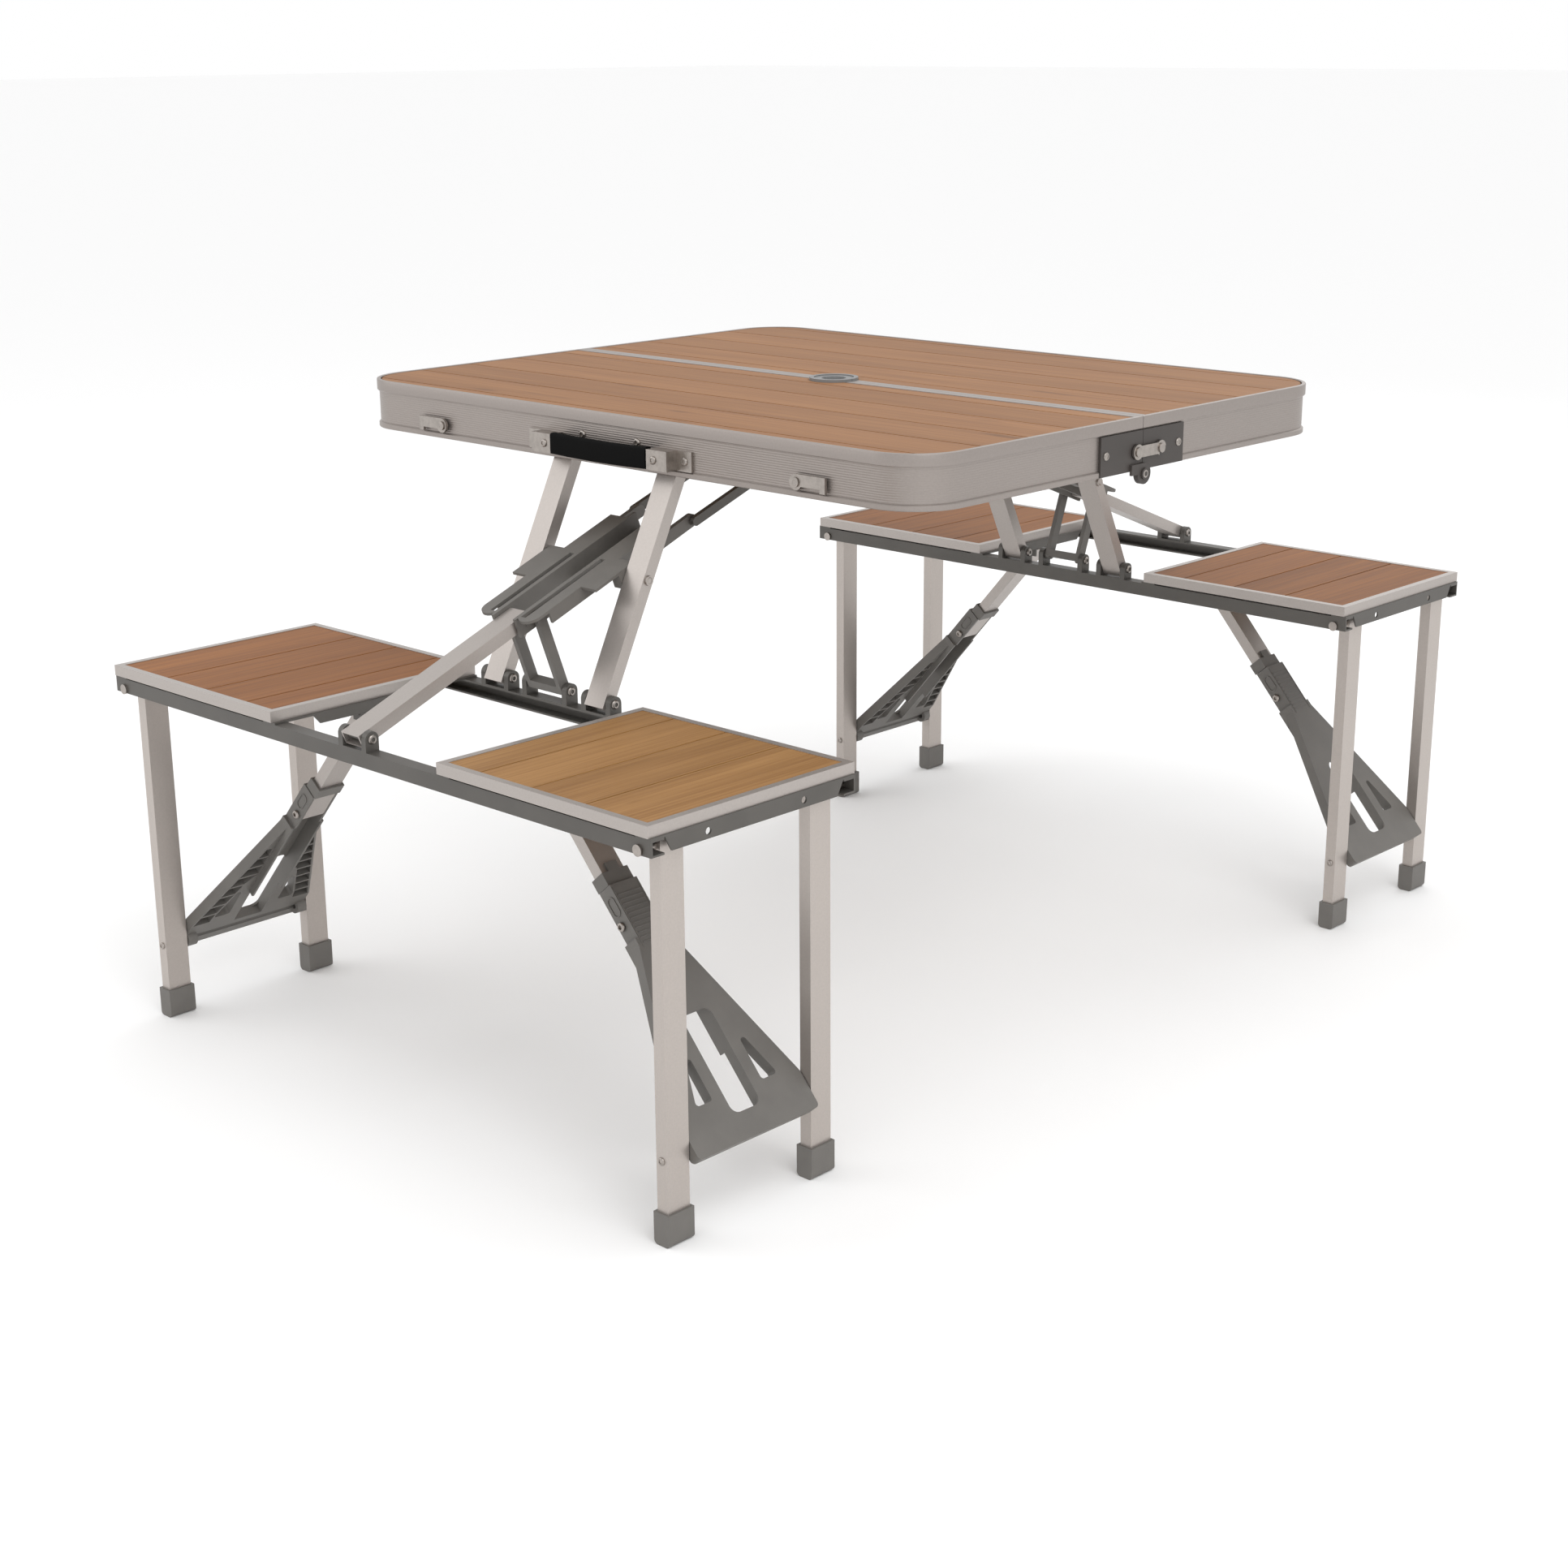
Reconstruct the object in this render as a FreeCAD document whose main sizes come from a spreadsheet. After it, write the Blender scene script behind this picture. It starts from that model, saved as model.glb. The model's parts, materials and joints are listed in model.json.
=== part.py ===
"""Folding picnic table: a case of two half tables that carries two benches.

Millimetres, +Z up, origin on the ground under the middle of the table. X runs along the seam
between the halves and Y across it. Each half is drawn as the rear half, on the +Y side, and the
front half is the same half turned half a turn about Z. The leg sets of one bench are turned the
same way about the bench's middle.
"""
import FreeCAD, Part
import math
import os
import re

DRIVING = {
    # case
    "table_length": 860.0, "half_width": 350.0, "table_height": 690.0, "rim_height": 55.0,
    "corner_radius": 60.0, "band_height": 13.0, "band_proud": 2.5, "bead_height": 6.0,
    "rim_wall": 2.0, "panel_thickness": 6.0, "panel_gap": 0.3, "panel_sunk": 0.6,
    "ledge_width": 8.0, "ledge_height": 2.0, "seam_gap": 0.3, "seam_strip": 10.0,
    "ring_outer": 28.0, "ring_bore": 14.0, "ring_proud": 2.5, "ring_depth": 10.0, "ring_lip": 5.0,
    "pole_clearance": 3.0,
    # centre hinge and end hooks
    "hinge_drop": 4.0, "plate_reach": 72.0, "plate_height": 41.0, "plate_thickness": 3.0,
    "tab_radius": 11.0, "tab_gap": 0.2, "tab_clear": 0.6, "hinge_pin": 4.0, "head_rim": 2.0,
    "head_height": 1.6, "plate_screw_y": 63.0, "plate_screw_up": 21.0, "hook_y": 12.0,
    "hook_up": 19.5, "catch_y": 28.0, "hook_height": 12.0, "hook_thickness": 2.4, "hook_pin": 3.0,
    # latches and handle on the front rim
    "latch_x": 272.0, "latch_reach": 39.0, "latch_up": 15.0, "latch_height": 16.0,
    "latch_thickness": 3.0, "latch_nose": 7.0, "handle_bracket_in": 77.0,
    "handle_bracket_out": 125.0, "handle_screw_in": 84.0, "handle_screw_out": 115.0,
    "handle_up": 6.5, "handle_tall": 21.0, "handle_bracket_depth": 6.0, "grip_half": 73.0,
    "grip_height": 24.0, "grip_depth": 10.0, "grip_stand": 14.0, "handle_bar": 4.0,
    "handle_box_out": 104.0, "grip_gap": 1.0, "screw_radius": 3.5, "screw_proud": 1.2,
    # bench
    "seat_width": 289.0, "case_clear": 8.0, "seat_depth": 267.0, "pin_shift": 1.0,
    "seat_top": 414.0, "seat_edge": 11.5, "seat_lip": 8.0, "seat_flange": 20.0,
    "seat_flange_height": 2.0, "board_sunk": 0.5, "plank_gap": 1.2, "plank_width": 73.0,
    "outer_plank": 81.0, "rail_size": 16.0, "rail_wall": 2.0, "rail_inset": 2.0,
    "angle_thickness": 2.0, "angle_width": 20.0, "outer_angle_drop": 14.5,
    "inner_angle_drop": 9.5, "angle_bevel": 8.0, "angle_clearance": 1.0, "angle_hole_y": 62.0,
    # legs
    "leg_back": 14.0, "bolt_up": 4.5, "near_gap": 9.0, "far_gap": 3.0, "leg_thick": 14.0,
    "leg_wide": 28.0, "tube_wall": 1.5, "leg_over": 8.0, "foot_height": 33.0, "foot_thick": 20.0,
    "foot_wide": 33.0, "foot_floor": 8.0, "foot_flat": 5.0, "leg_bolt": 4.0, "bolt_rim": 1.5,
    "pin_clearance": 0.1, "side_clearance": 1.0,
    # leg brace
    "brace_low_z": 85.0, "strut_pin_in": 8.0, "strut_thick": 14.0, "strut_wide": 28.0,
    "strut_over": 6.0, "knee_pin": 3.5, "sleeve_reach": 40.0, "sleeve_clearance": 0.6,
    "sleeve_wall": 3.0, "slot_half": 18.5, "plate_in": 7.0, "brace_skin": 2.5, "brace_rib": 2.5,
    "web_gap": 0.6, "recess_start": 18.0, "wall_end": 150.0, "slot_start": 105.0,
    "slot_past": 20.0, "slot_corner": 9.0, "brace_end": 15.0, "flare_start": 26.0,
    "shoulder_back": 24.0, "brace_rim": 24.0, "window_gap": 11.5, "window_back": 20.0,
    "window_corner": 3.5, "plate_corner": 5.0, "pocket_pitch": 17.0, "boss_radius": 9.0,
    "boss_reach": 12.0, "collar_wall": 2.6, "collar_gap": 0.3, "collar_near": 40.6,
    "collar_length": 14.0, "collar_tongue": 9.0,
    # linkage between the table and a bench
    "main_x": 80.0, "strut_x_width": 28.0, "strut_height": 14.0, "main_top_back": 32.0,
    "main_pin_down": 15.4, "main_run": 125.0, "main_pin_up": 12.5, "main_over": 8.0,
    "link_pin": 4.0, "slide_pin_at": 152.0, "centre_slope": 0.39, "v_pin_up": 14.5,
    "v_knee_gap": 12.0, "channel_gap": 1.0, "channel_wall": 4.0, "channel_low": 10.0,
    "channel_web": 2.5, "flange_low": 8.0, "flange_thick": 3.0, "strip_width": 28.0,
    "slit_gap": 1.5, "slit_clearance": 0.5, "slit_end": 112.0, "tip_reach": 14.0,
    "web_start": 95.0,
    "body_end": 203.0, "wing_half": 12.0, "wing_back": 46.0, "lug_in": 52.0, "lug_gap": 1.0,
    "lug_low": 8.0, "skirt_high": 4.0, "prong_reach": 120.35, "prong_offset": 4.0,
    "prong_width": 6.0, "prong_radius": 7.0, "arm_gap": 1.0, "arm_thick": 6.0, "arm_height": 10.0,
    "arm_top_y": 19.5, "arm_pin_down": 22.4, "arm_pin": 3.0, "v_leg_thick": 6.0,
    "v_height": 12.0, "cheek_gap": 1.0, "cheek_thick": 7.0, "thin_cheek": 2.5, "fork_half": 14.0,
    "fork_drop": 11.0, "ear_gap": 1.5, "rivet_proud": 2.0,
}


def derive(driving):
    """The driving sizes, with the sizes and places that follow from them."""
    v = dict(driving)
    v["rim_bottom"] = v["table_height"] - v["rim_height"]
    v["panel_top"] = v["table_height"] - v["panel_sunk"]
    v["panel_bottom"] = v["panel_top"] - v["panel_thickness"]
    v["hinge_z"] = v["rim_bottom"] - v["hinge_drop"]
    v["end_face"] = v["table_length"] / 2 - v["band_proud"]
    v["front_face"] = v["half_width"] - v["band_proud"]
    v["plate_screw_z"] = v["rim_bottom"] + v["plate_screw_up"]
    v["hook_z"] = v["rim_bottom"] + v["hook_up"]
    v["latch_z"] = v["rim_bottom"] + v["latch_up"]
    v["handle_low"] = v["rim_bottom"] + v["handle_up"]
    v["handle_high"] = v["handle_low"] + v["handle_tall"]
    # the bench hangs on the main struts, and its length follows the case that it folds into
    v["main_top_y"] = v["half_width"] - v["main_top_back"]
    v["main_top_z"] = v["panel_bottom"] - v["main_pin_down"]
    v["main_low_y"] = v["main_top_y"] + v["main_run"]
    v["arm_top_z"] = v["panel_bottom"] - v["arm_pin_down"]
    v["seat_out"] = v["table_length"] / 2 - v["case_clear"]
    v["seat_in"] = v["seat_out"] - v["seat_width"]
    v["seat_low"] = v["seat_top"] - v["seat_edge"]
    v["rail_half"] = v["seat_out"] + v["angle_thickness"]
    v["rail_top"] = v["seat_low"] - v["angle_thickness"]
    v["rail_low"] = v["rail_top"] - v["rail_size"]
    v["near_rail"] = v["main_low_y"] - v["rail_size"] / 2 - v["pin_shift"]
    v["seat_near"] = v["near_rail"] - v["rail_inset"] / 2
    v["seat_far"] = v["seat_near"] + v["seat_depth"]
    v["far_rail"] = v["seat_far"] - v["rail_inset"] - v["rail_size"]
    v["centre_low_y"] = v["far_rail"] + v["rail_size"] / 2
    v["main_low_z"] = v["rail_top"] + v["main_pin_up"]
    v["v_low_z"] = v["rail_top"] + v["v_pin_up"]
    v["leg_x"] = v["seat_out"] - v["leg_back"]
    v["leg_z"] = v["rail_low"] + v["bolt_up"]
    v["leg_near"] = v["near_rail"] + v["rail_size"] + v["near_gap"] + v["leg_wide"] / 2
    v["leg_far"] = v["far_rail"] - v["far_gap"] - v["leg_wide"] / 2
    v["mid_y"] = (v["leg_near"] + v["leg_far"]) / 2
    v["strut_pin_x"] = v["seat_in"] + v["strut_pin_in"]
    v["strut_pin_z"] = v["leg_z"]
    # leg brace: straight when the leg stands, folded flat when the leg lies under the seat
    v["brace_span"] = math.hypot(v["leg_x"] - v["strut_pin_x"], v["strut_pin_z"] - v["brace_low_z"])
    v["fold_rest"] = v["leg_z"] - v["brace_low_z"] - (v["leg_x"] - v["strut_pin_x"])
    v["brace_plate_length"] = (v["brace_span"] + v["fold_rest"]) / 2
    v["brace_strut_length"] = (v["brace_span"] - v["fold_rest"]) / 2
    v["brace_angle"] = math.degrees(
        math.atan2(v["strut_pin_z"] - v["brace_low_z"], v["leg_x"] - v["strut_pin_x"]))
    v["slot_end"] = v["brace_strut_length"] + v["strut_over"] + v["slot_past"]
    v["collar_deep"] = v["strut_thick"] / 2 + v["collar_wall"]
    v["plate_out"] = v["collar_deep"] + v["web_gap"] + v["brace_skin"]
    share = v["brace_strut_length"] / v["brace_span"]
    v["knee_x"] = v["strut_pin_x"] + share * (v["leg_x"] - v["strut_pin_x"])
    v["knee_z"] = v["strut_pin_z"] - share * (v["strut_pin_z"] - v["brace_low_z"])
    # widths across the linkage: strut in bracket, V link in the bracket's slit, arm beside it
    v["channel_in"] = v["strut_x_width"] / 2 + v["channel_gap"]
    v["strip_out"] = v["channel_in"] + v["strip_width"]
    v["slit_in"] = v["channel_in"] + v["channel_wall"] + v["slit_gap"]
    v["slit_width"] = v["v_leg_thick"] + 2 * v["slit_clearance"]
    v["v_leg_in"] = v["slit_in"] + v["slit_clearance"]
    v["prong_in"] = v["strip_out"] - v["prong_width"]
    v["arm_in"] = v["strip_out"] + v["arm_gap"]
    # main strut, and how far the bench travels until the strut lies flat under the table
    fall = v["main_top_z"] - v["main_low_z"]
    v["main_length"] = math.hypot(v["main_run"], fall)
    v["main_angle"] = -math.degrees(math.atan2(fall, v["main_run"]))
    v["bench_travel"] = v["main_run"] + v["main_length"]
    slide_y = v["main_top_y"] + v["slide_pin_at"] * v["main_run"] / v["main_length"]
    slide_z = v["main_top_z"] - v["slide_pin_at"] * fall / v["main_length"]
    # centre strut: its length closes the loop both open and folded
    slope = math.hypot(1, v["centre_slope"])
    along_y = -1 / slope
    along_z = v["centre_slope"] / slope
    gap = v["bench_travel"] + v["main_top_y"] - v["slide_pin_at"] - v["centre_low_y"]
    off_y = v["centre_low_y"] - slide_y
    off_z = v["main_low_z"] - slide_z
    reach = off_y * along_y + off_z * along_z
    v["centre_length"] = (gap ** 2 - off_y ** 2 - off_z ** 2) / (2 * (reach - gap))
    v["centre_angle"] = 180 - math.degrees(math.atan(v["centre_slope"]))
    v["link_knee_y"] = v["centre_low_y"] + v["centre_length"] * along_y
    v["link_knee_z"] = v["main_low_z"] + v["centre_length"] * along_z
    rise = slide_z - v["link_knee_z"]
    back = slide_y - v["link_knee_y"]
    v["slide_length"] = math.hypot(back, rise)
    v["slide_angle"] = math.degrees(math.atan2(rise, back))
    # slide arms, from the bracket's prongs up to the table
    cos = back / v["slide_length"]
    sin = rise / v["slide_length"]
    v["prong_at"] = v["slide_length"] + v["prong_reach"]
    prong_y = v["link_knee_y"] + v["prong_at"] * cos - v["prong_offset"] * sin
    prong_z = v["link_knee_z"] + v["prong_at"] * sin + v["prong_offset"] * cos
    v["arm_length"] = math.hypot(prong_y - v["arm_top_y"], prong_z - v["arm_top_z"])
    v["arm_angle"] = math.degrees(math.atan2(prong_z - v["arm_top_z"], prong_y - v["arm_top_y"]))
    # V link, from the near rail up beside the centre strut's knee
    pin_y = v["link_knee_y"] + v["v_knee_gap"] * cos
    pin_z = v["link_knee_z"] + v["v_knee_gap"] * sin
    v["v_length"] = math.hypot(pin_y - v["main_low_y"], pin_z - v["v_low_z"])
    v["v_angle"] = math.degrees(math.atan2(pin_z - v["v_low_z"], pin_y - v["main_low_y"]))
    return v


VALUES = derive(DRIVING)

doc = FreeCAD.newDocument("PicnicTable")
sheet = doc.addObject("Spreadsheet::Sheet", "Sizes")
for row, (alias, value) in enumerate(VALUES.items(), start=1):
    sheet.set(f"A{row}", alias)
    sheet.set(f"B{row}", repr(value))
    sheet.setAlias(f"B{row}", alias)
doc.recompute()

NODES = []
X_AXIS = FreeCAD.Vector(1, 0, 0)
Y_AXIS = FreeCAD.Vector(0, 1, 0)
Z_AXIS = FreeCAD.Vector(0, 0, 1)
HALF_TURN = FreeCAD.Placement(FreeCAD.Vector(0, 0, 0), FreeCAD.Rotation(Z_AXIS, 180))
REAR = FreeCAD.Placement()
HALVES = (("rear", REAR), ("front", HALF_TURN))


def sizes(text):
    """An expression with each size's name looked up in the sheet."""
    return re.sub(r"[A-Za-z_]\w*", lambda name: "Sizes." + name.group(), str(text))


def bind(piece, field, text):
    piece.setExpression(field, sizes(text))


def box(x, y, z):
    """A block between two values on each axis."""
    piece = doc.addObject("Part::Box", "Block")
    for field, axis, (low, high) in (("Length", "x", x), ("Width", "y", y), ("Height", "z", z)):
        bind(piece, field, f"({high}) - ({low})")
        bind(piece, f"Placement.Base.{axis}", low)
    return piece


def rod(axis, radius, ends, across):
    """A cylinder along one axis, centred at the other two axes' values."""
    piece = doc.addObject("Part::Cylinder", "Rod")
    low, high = ends
    bind(piece, "Radius", radius)
    bind(piece, "Height", f"({high}) - ({low})")
    turn = {"x": FreeCAD.Rotation(Y_AXIS, 90), "y": FreeCAD.Rotation(X_AXIS, -90)}
    piece.Placement = FreeCAD.Placement(FreeCAD.Vector(), turn.get(axis, FreeCAD.Rotation()))
    places = dict(zip([a for a in "xyz" if a != axis], across))
    places[axis] = low
    for a, value in places.items():
        bind(piece, f"Placement.Base.{a}", value)
    return piece


def prism(points, axis, ends, corner=0):
    """An outline in the plane across an axis, its corners rounded, pushed along that axis."""
    low, high = (number(e) for e in ends)
    flat = []
    for a, b in points:
        place = {"x": (low, a, b), "y": (a, low, b), "z": (a, b, low)}[axis]
        flat.append(FreeCAD.Vector(*place))
    push = {"x": X_AXIS, "y": Y_AXIS, "z": Z_AXIS}[axis] * (high - low)
    face = Part.Face(Part.makePolygon(flat + flat[:1]))
    if corner:
        face = face.makeOffset2D(-corner).makeOffset2D(corner)
    piece = doc.addObject("Part::Feature", "Prism")
    piece.Shape = face.extrude(push)
    return piece


def number(text):
    """The value of an expression of sizes, for the shapes that Part's own functions make."""
    piece = doc.getObject("Probe") or doc.addObject("App::FeaturePython", "Probe")
    if "Value" not in piece.PropertiesList:
        piece.addProperty("App::PropertyFloat", "Value")
    bind(piece, "Value", text)
    piece.recompute()
    return piece.Value


def fuse(*pieces):
    if len(pieces) == 1:
        return pieces[0]
    joined = doc.addObject("Part::MultiFuse", "Fused")
    joined.Shapes = list(pieces)
    return joined


def cut(piece, *tools):
    """The first piece without the others."""
    result = doc.addObject("Part::Cut", "Cut")
    result.Base = piece
    result.Tool = fuse(*tools)
    return result


def group(*pieces):
    """Separate solids kept as one sub-part."""
    if len(pieces) == 1:
        return pieces[0]
    whole = doc.addObject("Part::Compound", "Group")
    whole.Links = list(pieces)
    return whole


def node(name, piece, place):
    """Name a finished sub-part and put it in its place."""
    holder = doc.addObject("Part::Compound", name)
    holder.Label = name
    holder.Links = [piece]
    holder.Placement = place
    NODES.append(holder)


def turned(y, z, angle):
    """The place of a link drawn along +Y from its pivot, set at an angle above the horizontal."""
    base = FreeCAD.Vector(0, VALUES[y], VALUES[z])
    return FreeCAD.Placement(base, FreeCAD.Rotation(X_AXIS, VALUES[angle]))


# ---------------------------------------------------------------- case


def sided(side, low, high):
    """A span on the right, or the same span mirrored to the left."""
    return (low, high) if side > 0 else (f"-({high})", f"-({low})")


def half_slab(inset, seam, low, high):
    """A slab with the outline of a half table: square at the seam, round at the far corners."""
    half = f"table_length / 2 - ({inset})"
    far = f"half_width - ({inset})"
    radius = f"corner_radius - ({inset})"
    inner = "table_length / 2 - corner_radius"
    line = "half_width - corner_radius"
    return fuse(
        box((f"-({half})", half), (seam, line), (low, high)),
        box((f"-({inner})", inner), (line, far), (low, high)),
        rod("z", radius, (low, high), (inner, line)),
        rod("z", radius, (low, high), (f"-({inner})", line)))


def rim():
    wall = half_slab("band_proud", "seam_gap", "rim_bottom", "table_height")
    band = half_slab(0, "seam_gap", "table_height - band_height", "table_height")
    bead = half_slab("band_proud / 5", "seam_gap", "rim_bottom", "rim_bottom + bead_height")
    inside = half_slab("band_proud + rim_wall", "seam_gap + rim_wall",
                       "rim_bottom - 1", "panel_bottom - ledge_height")
    ledge = half_slab("band_proud + rim_wall + ledge_width", "seam_strip",
                      "rim_bottom - 1", "table_height + 1")
    recess = half_slab("band_proud + rim_wall", "seam_strip", "panel_bottom", "table_height + 1")
    bore = rod("z", "ring_outer", ("table_height - ring_depth", "table_height + 1"), (0, 0))
    core = rod("z", "ring_bore + pole_clearance", ("rim_bottom", "table_height + 1"), (0, 0))
    ends = []
    outer = "table_length / 2 + 1"
    for side in (-1, 1):
        span = sided(side, "end_face - rim_wall - 1", outer)
        ends.append(rod("x", "tab_radius + tab_clear", span, (0, "hinge_z")))
        ends.append(box(sided(side, "end_face", outer), (0, "plate_reach + tab_gap"),
                        ("rim_bottom - 1", "rim_bottom + plate_height + tab_gap")))
    return cut(fuse(wall, band, bead), inside, ledge, recess, bore, core, *ends)


def panel():
    slab = half_slab("band_proud + rim_wall + panel_gap", "seam_strip + panel_gap",
                     "panel_bottom", "panel_top")
    bore = rod("z", "ring_outer", ("rim_bottom", "table_height"), (0, 0))
    return cut(slab, bore)


def ring_half():
    """Half of the parasol ring, square at the seam, with a raised rim and a bore."""
    low = "table_height - ring_depth"
    outer = rod("z", "ring_outer", (low, "table_height + ring_proud"), (0, 0))
    step = rod("z", "ring_outer - ring_lip", ("table_height + ring_proud / 2",
                                       "table_height + ring_proud + 1"), (0, 0))
    bore = rod("z", "ring_bore", (f"{low} - 1", "table_height + ring_proud + 1"), (0, 0))
    away = box(("-ring_outer - 1", "ring_outer + 1"), ("-ring_outer - 1", "seam_gap"),
               (f"{low} - 1", "table_height + ring_proud + 1"))
    return cut(outer, step, bore, away)


def hinge_plates(outer_tab):
    """The two end plates of a half, with the tab that turns on the centre hinge's pin."""
    plates = []
    for side in (-1, 1):
        face = "end_face + plate_thickness"
        sheet_metal = box(sided(side, "end_face", face), ("seam_gap", "plate_reach"),
                          ("rim_bottom", "rim_bottom + plate_height"))
        clear = rod("x", "tab_radius + tab_clear", sided(side, "end_face - 1", f"{face}"),
                    (0, "hinge_z"))
        if outer_tab:
            layer = sided(side, f"{face} + tab_gap", f"{face} + plate_thickness")
            disc = rod("x", "tab_radius", layer, (0, "hinge_z"))
            arm = box(layer, (0, "tab_radius * 2"), ("hinge_z", "hinge_z + tab_radius"))
            root = box(sided(side, "end_face", f"{face} + plate_thickness"),
                       ("tab_radius + tab_clear + tab_gap", "tab_radius * 2"),
                       ("rim_bottom", "hinge_z + tab_radius"))
            bore = rod("x", "hinge_pin + pin_clearance",
                       sided(side, "end_face - 1", f"{face} + plate_thickness + 1"), (0, "hinge_z"))
            plate = cut(fuse(cut(sheet_metal, clear), disc, arm, root), bore)
        else:
            disc = rod("x", "tab_radius", sided(side, "end_face", face), (0, "hinge_z"))
            link = box(sided(side, "end_face", face), (0, "tab_radius"),
                       ("hinge_z", "hinge_z + tab_radius"))
            tip = f"{face} + plate_thickness + head_rim"
            pin = rod("x", "hinge_pin", sided(side, "end_face", tip), (0, "hinge_z"))
            head = rod("x", "hinge_pin + head_rim",
                       sided(side, f"{face} + plate_thickness + tab_gap", tip), (0, "hinge_z"))
            notch = box(sided(side, "end_face - 1", f"{face} + tab_gap"), ("-tab_radius * 2", "seam_gap"),
                        ("hinge_z + tab_radius", "hinge_z + tab_radius * 2"))
            plate = fuse(cut(fuse(sheet_metal, link, disc), notch), pin, head)
        plates.append(plate)
    return group(*plates)


def end_screws():
    """One screw near the outer edge of each end plate."""
    pieces = []
    for side in (-1, 1):
        face = "end_face + plate_thickness"
        pieces.append(rod("x", "screw_radius", sided(side, face, f"{face} + screw_proud"),
                          ("plate_screw_y", "plate_screw_z")))
    return pieces


def end_hook(side):
    """A flat hook that turns on the front half and drops over the catch on the rear half.

    Its mouth is open below and towards the rear, so the catch can leave as the halves fold.
    """
    face = "end_face + plate_thickness + screw_proud"
    span = sided(side, face, f"{face} + hook_thickness")
    wide = sided(side, "end_face + plate_thickness", f"{face} + hook_thickness + 1")
    blade = box(span, ("-hook_y", "catch_y"), ("hook_z - hook_height / 2", "hook_z + hook_height / 2"))
    eye = rod("x", "hook_height / 2 + head_rim", span, ("-hook_y", "hook_z"))
    nose = rod("x", "hook_height / 2 + head_rim", span, ("catch_y", "hook_z"))
    bore = rod("x", "hook_pin + pin_clearance", wide, ("-hook_y", "hook_z"))
    mouth = rod("x", "hook_pin + pin_clearance", wide, ("catch_y", "hook_z"))
    throat = box(wide, ("catch_y - hook_pin - pin_clearance", "catch_y + hook_height"),
                 ("hook_z - hook_height", "hook_z + hook_pin / 2"))
    return cut(fuse(blade, eye, nose), bore, mouth, throat)


def hook_pins(y):
    """Headed pins on both end plates: the hooks turn on one pair and catch on the other."""
    pieces = []
    for side in (-1, 1):
        face = "end_face + plate_thickness"
        top = f"{face} + screw_proud + hook_thickness"
        tip = f"{top} + head_height"
        pieces.append(fuse(
            rod("x", "hook_pin", sided(side, face, tip), (y, "hook_z")),
            rod("x", "hook_pin + head_rim", sided(side, f"{top} + tab_gap", tip), (y, "hook_z"))))
    return pieces


def case_latch(side):
    """A flat hook on the front rim, turning on a stud, with its mouth open downwards."""
    face = "half_width + tab_gap"
    span = (face, f"{face} + latch_thickness")
    wide = ("front_face", f"{face} + latch_thickness + 1")
    pivot = f"{side} * latch_x"
    tip = f"{side} * (latch_x + latch_reach)"
    ends = (pivot, tip) if side > 0 else (tip, pivot)
    blade = box(ends, span, ("latch_z - latch_height / 4", "latch_z + latch_height / 2"))
    eye = rod("y", "latch_height / 2", span, (pivot, "latch_z"))
    nose = box(sided(side, "latch_x + latch_reach - latch_nose", "latch_x + latch_reach"), span,
               ("latch_z - latch_height / 2", "latch_z"))
    bore = rod("y", "hook_pin + pin_clearance", wide, (pivot, "latch_z"))
    return cut(fuse(blade, eye, nose), bore)


def latch_studs():
    pieces = []
    for side in (-1, 1):
        top = "half_width + tab_gap + latch_thickness"
        tip = f"{top} + head_height"
        at = (f"{side} * latch_x", "latch_z")
        pieces.append(fuse(rod("y", "hook_pin", ("front_face", tip), at),
                           rod("y", "hook_pin + head_rim", (f"{top} + tab_gap", tip), at)))
    return pieces


def handle_brackets():
    """Two metal feet riveted to the rim, joined by the bar that runs through the grip."""
    bar_y = "front_face + grip_stand"
    mid = "(handle_low + handle_high) / 2"
    feet = []
    sheet = "handle_bracket_depth / 2"
    for side in (-1, 1):
        feet.append(box(sided(side, "handle_bracket_in", "handle_bracket_out"),
                        ("front_face", f"front_face + {sheet}"), ("handle_low", "handle_high")))
        feet.append(box(sided(side, "grip_half + grip_gap", "handle_box_out"),
                        ("front_face", f"{bar_y} + handle_bar"), ("handle_low", "handle_high")))
        for at, face in (("handle_screw_in", f"{bar_y} + handle_bar"),
                         ("handle_screw_out", f"front_face + {sheet}")):
            feet.append(rod("y", "screw_radius", ("front_face", f"{face} + screw_proud"),
                            (f"{side} * {at}", mid)))
    feet.append(rod("x", "handle_bar", ("-handle_bracket_in", "handle_bracket_in"), (bar_y, mid)))
    return fuse(*feet)


def grip():
    mid = "(handle_low + handle_high) / 2"
    y = "front_face + grip_stand"
    block = box(("-grip_half", "grip_half"), (f"{y} - grip_depth / 2", f"{y} + grip_depth / 2"),
                (f"{mid} - grip_height / 2", f"{mid} + grip_height / 2"))
    bore = rod("x", "handle_bar", ("-grip_half - 1", "grip_half + 1"), (y, mid))
    return cut(block, bore)


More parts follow.
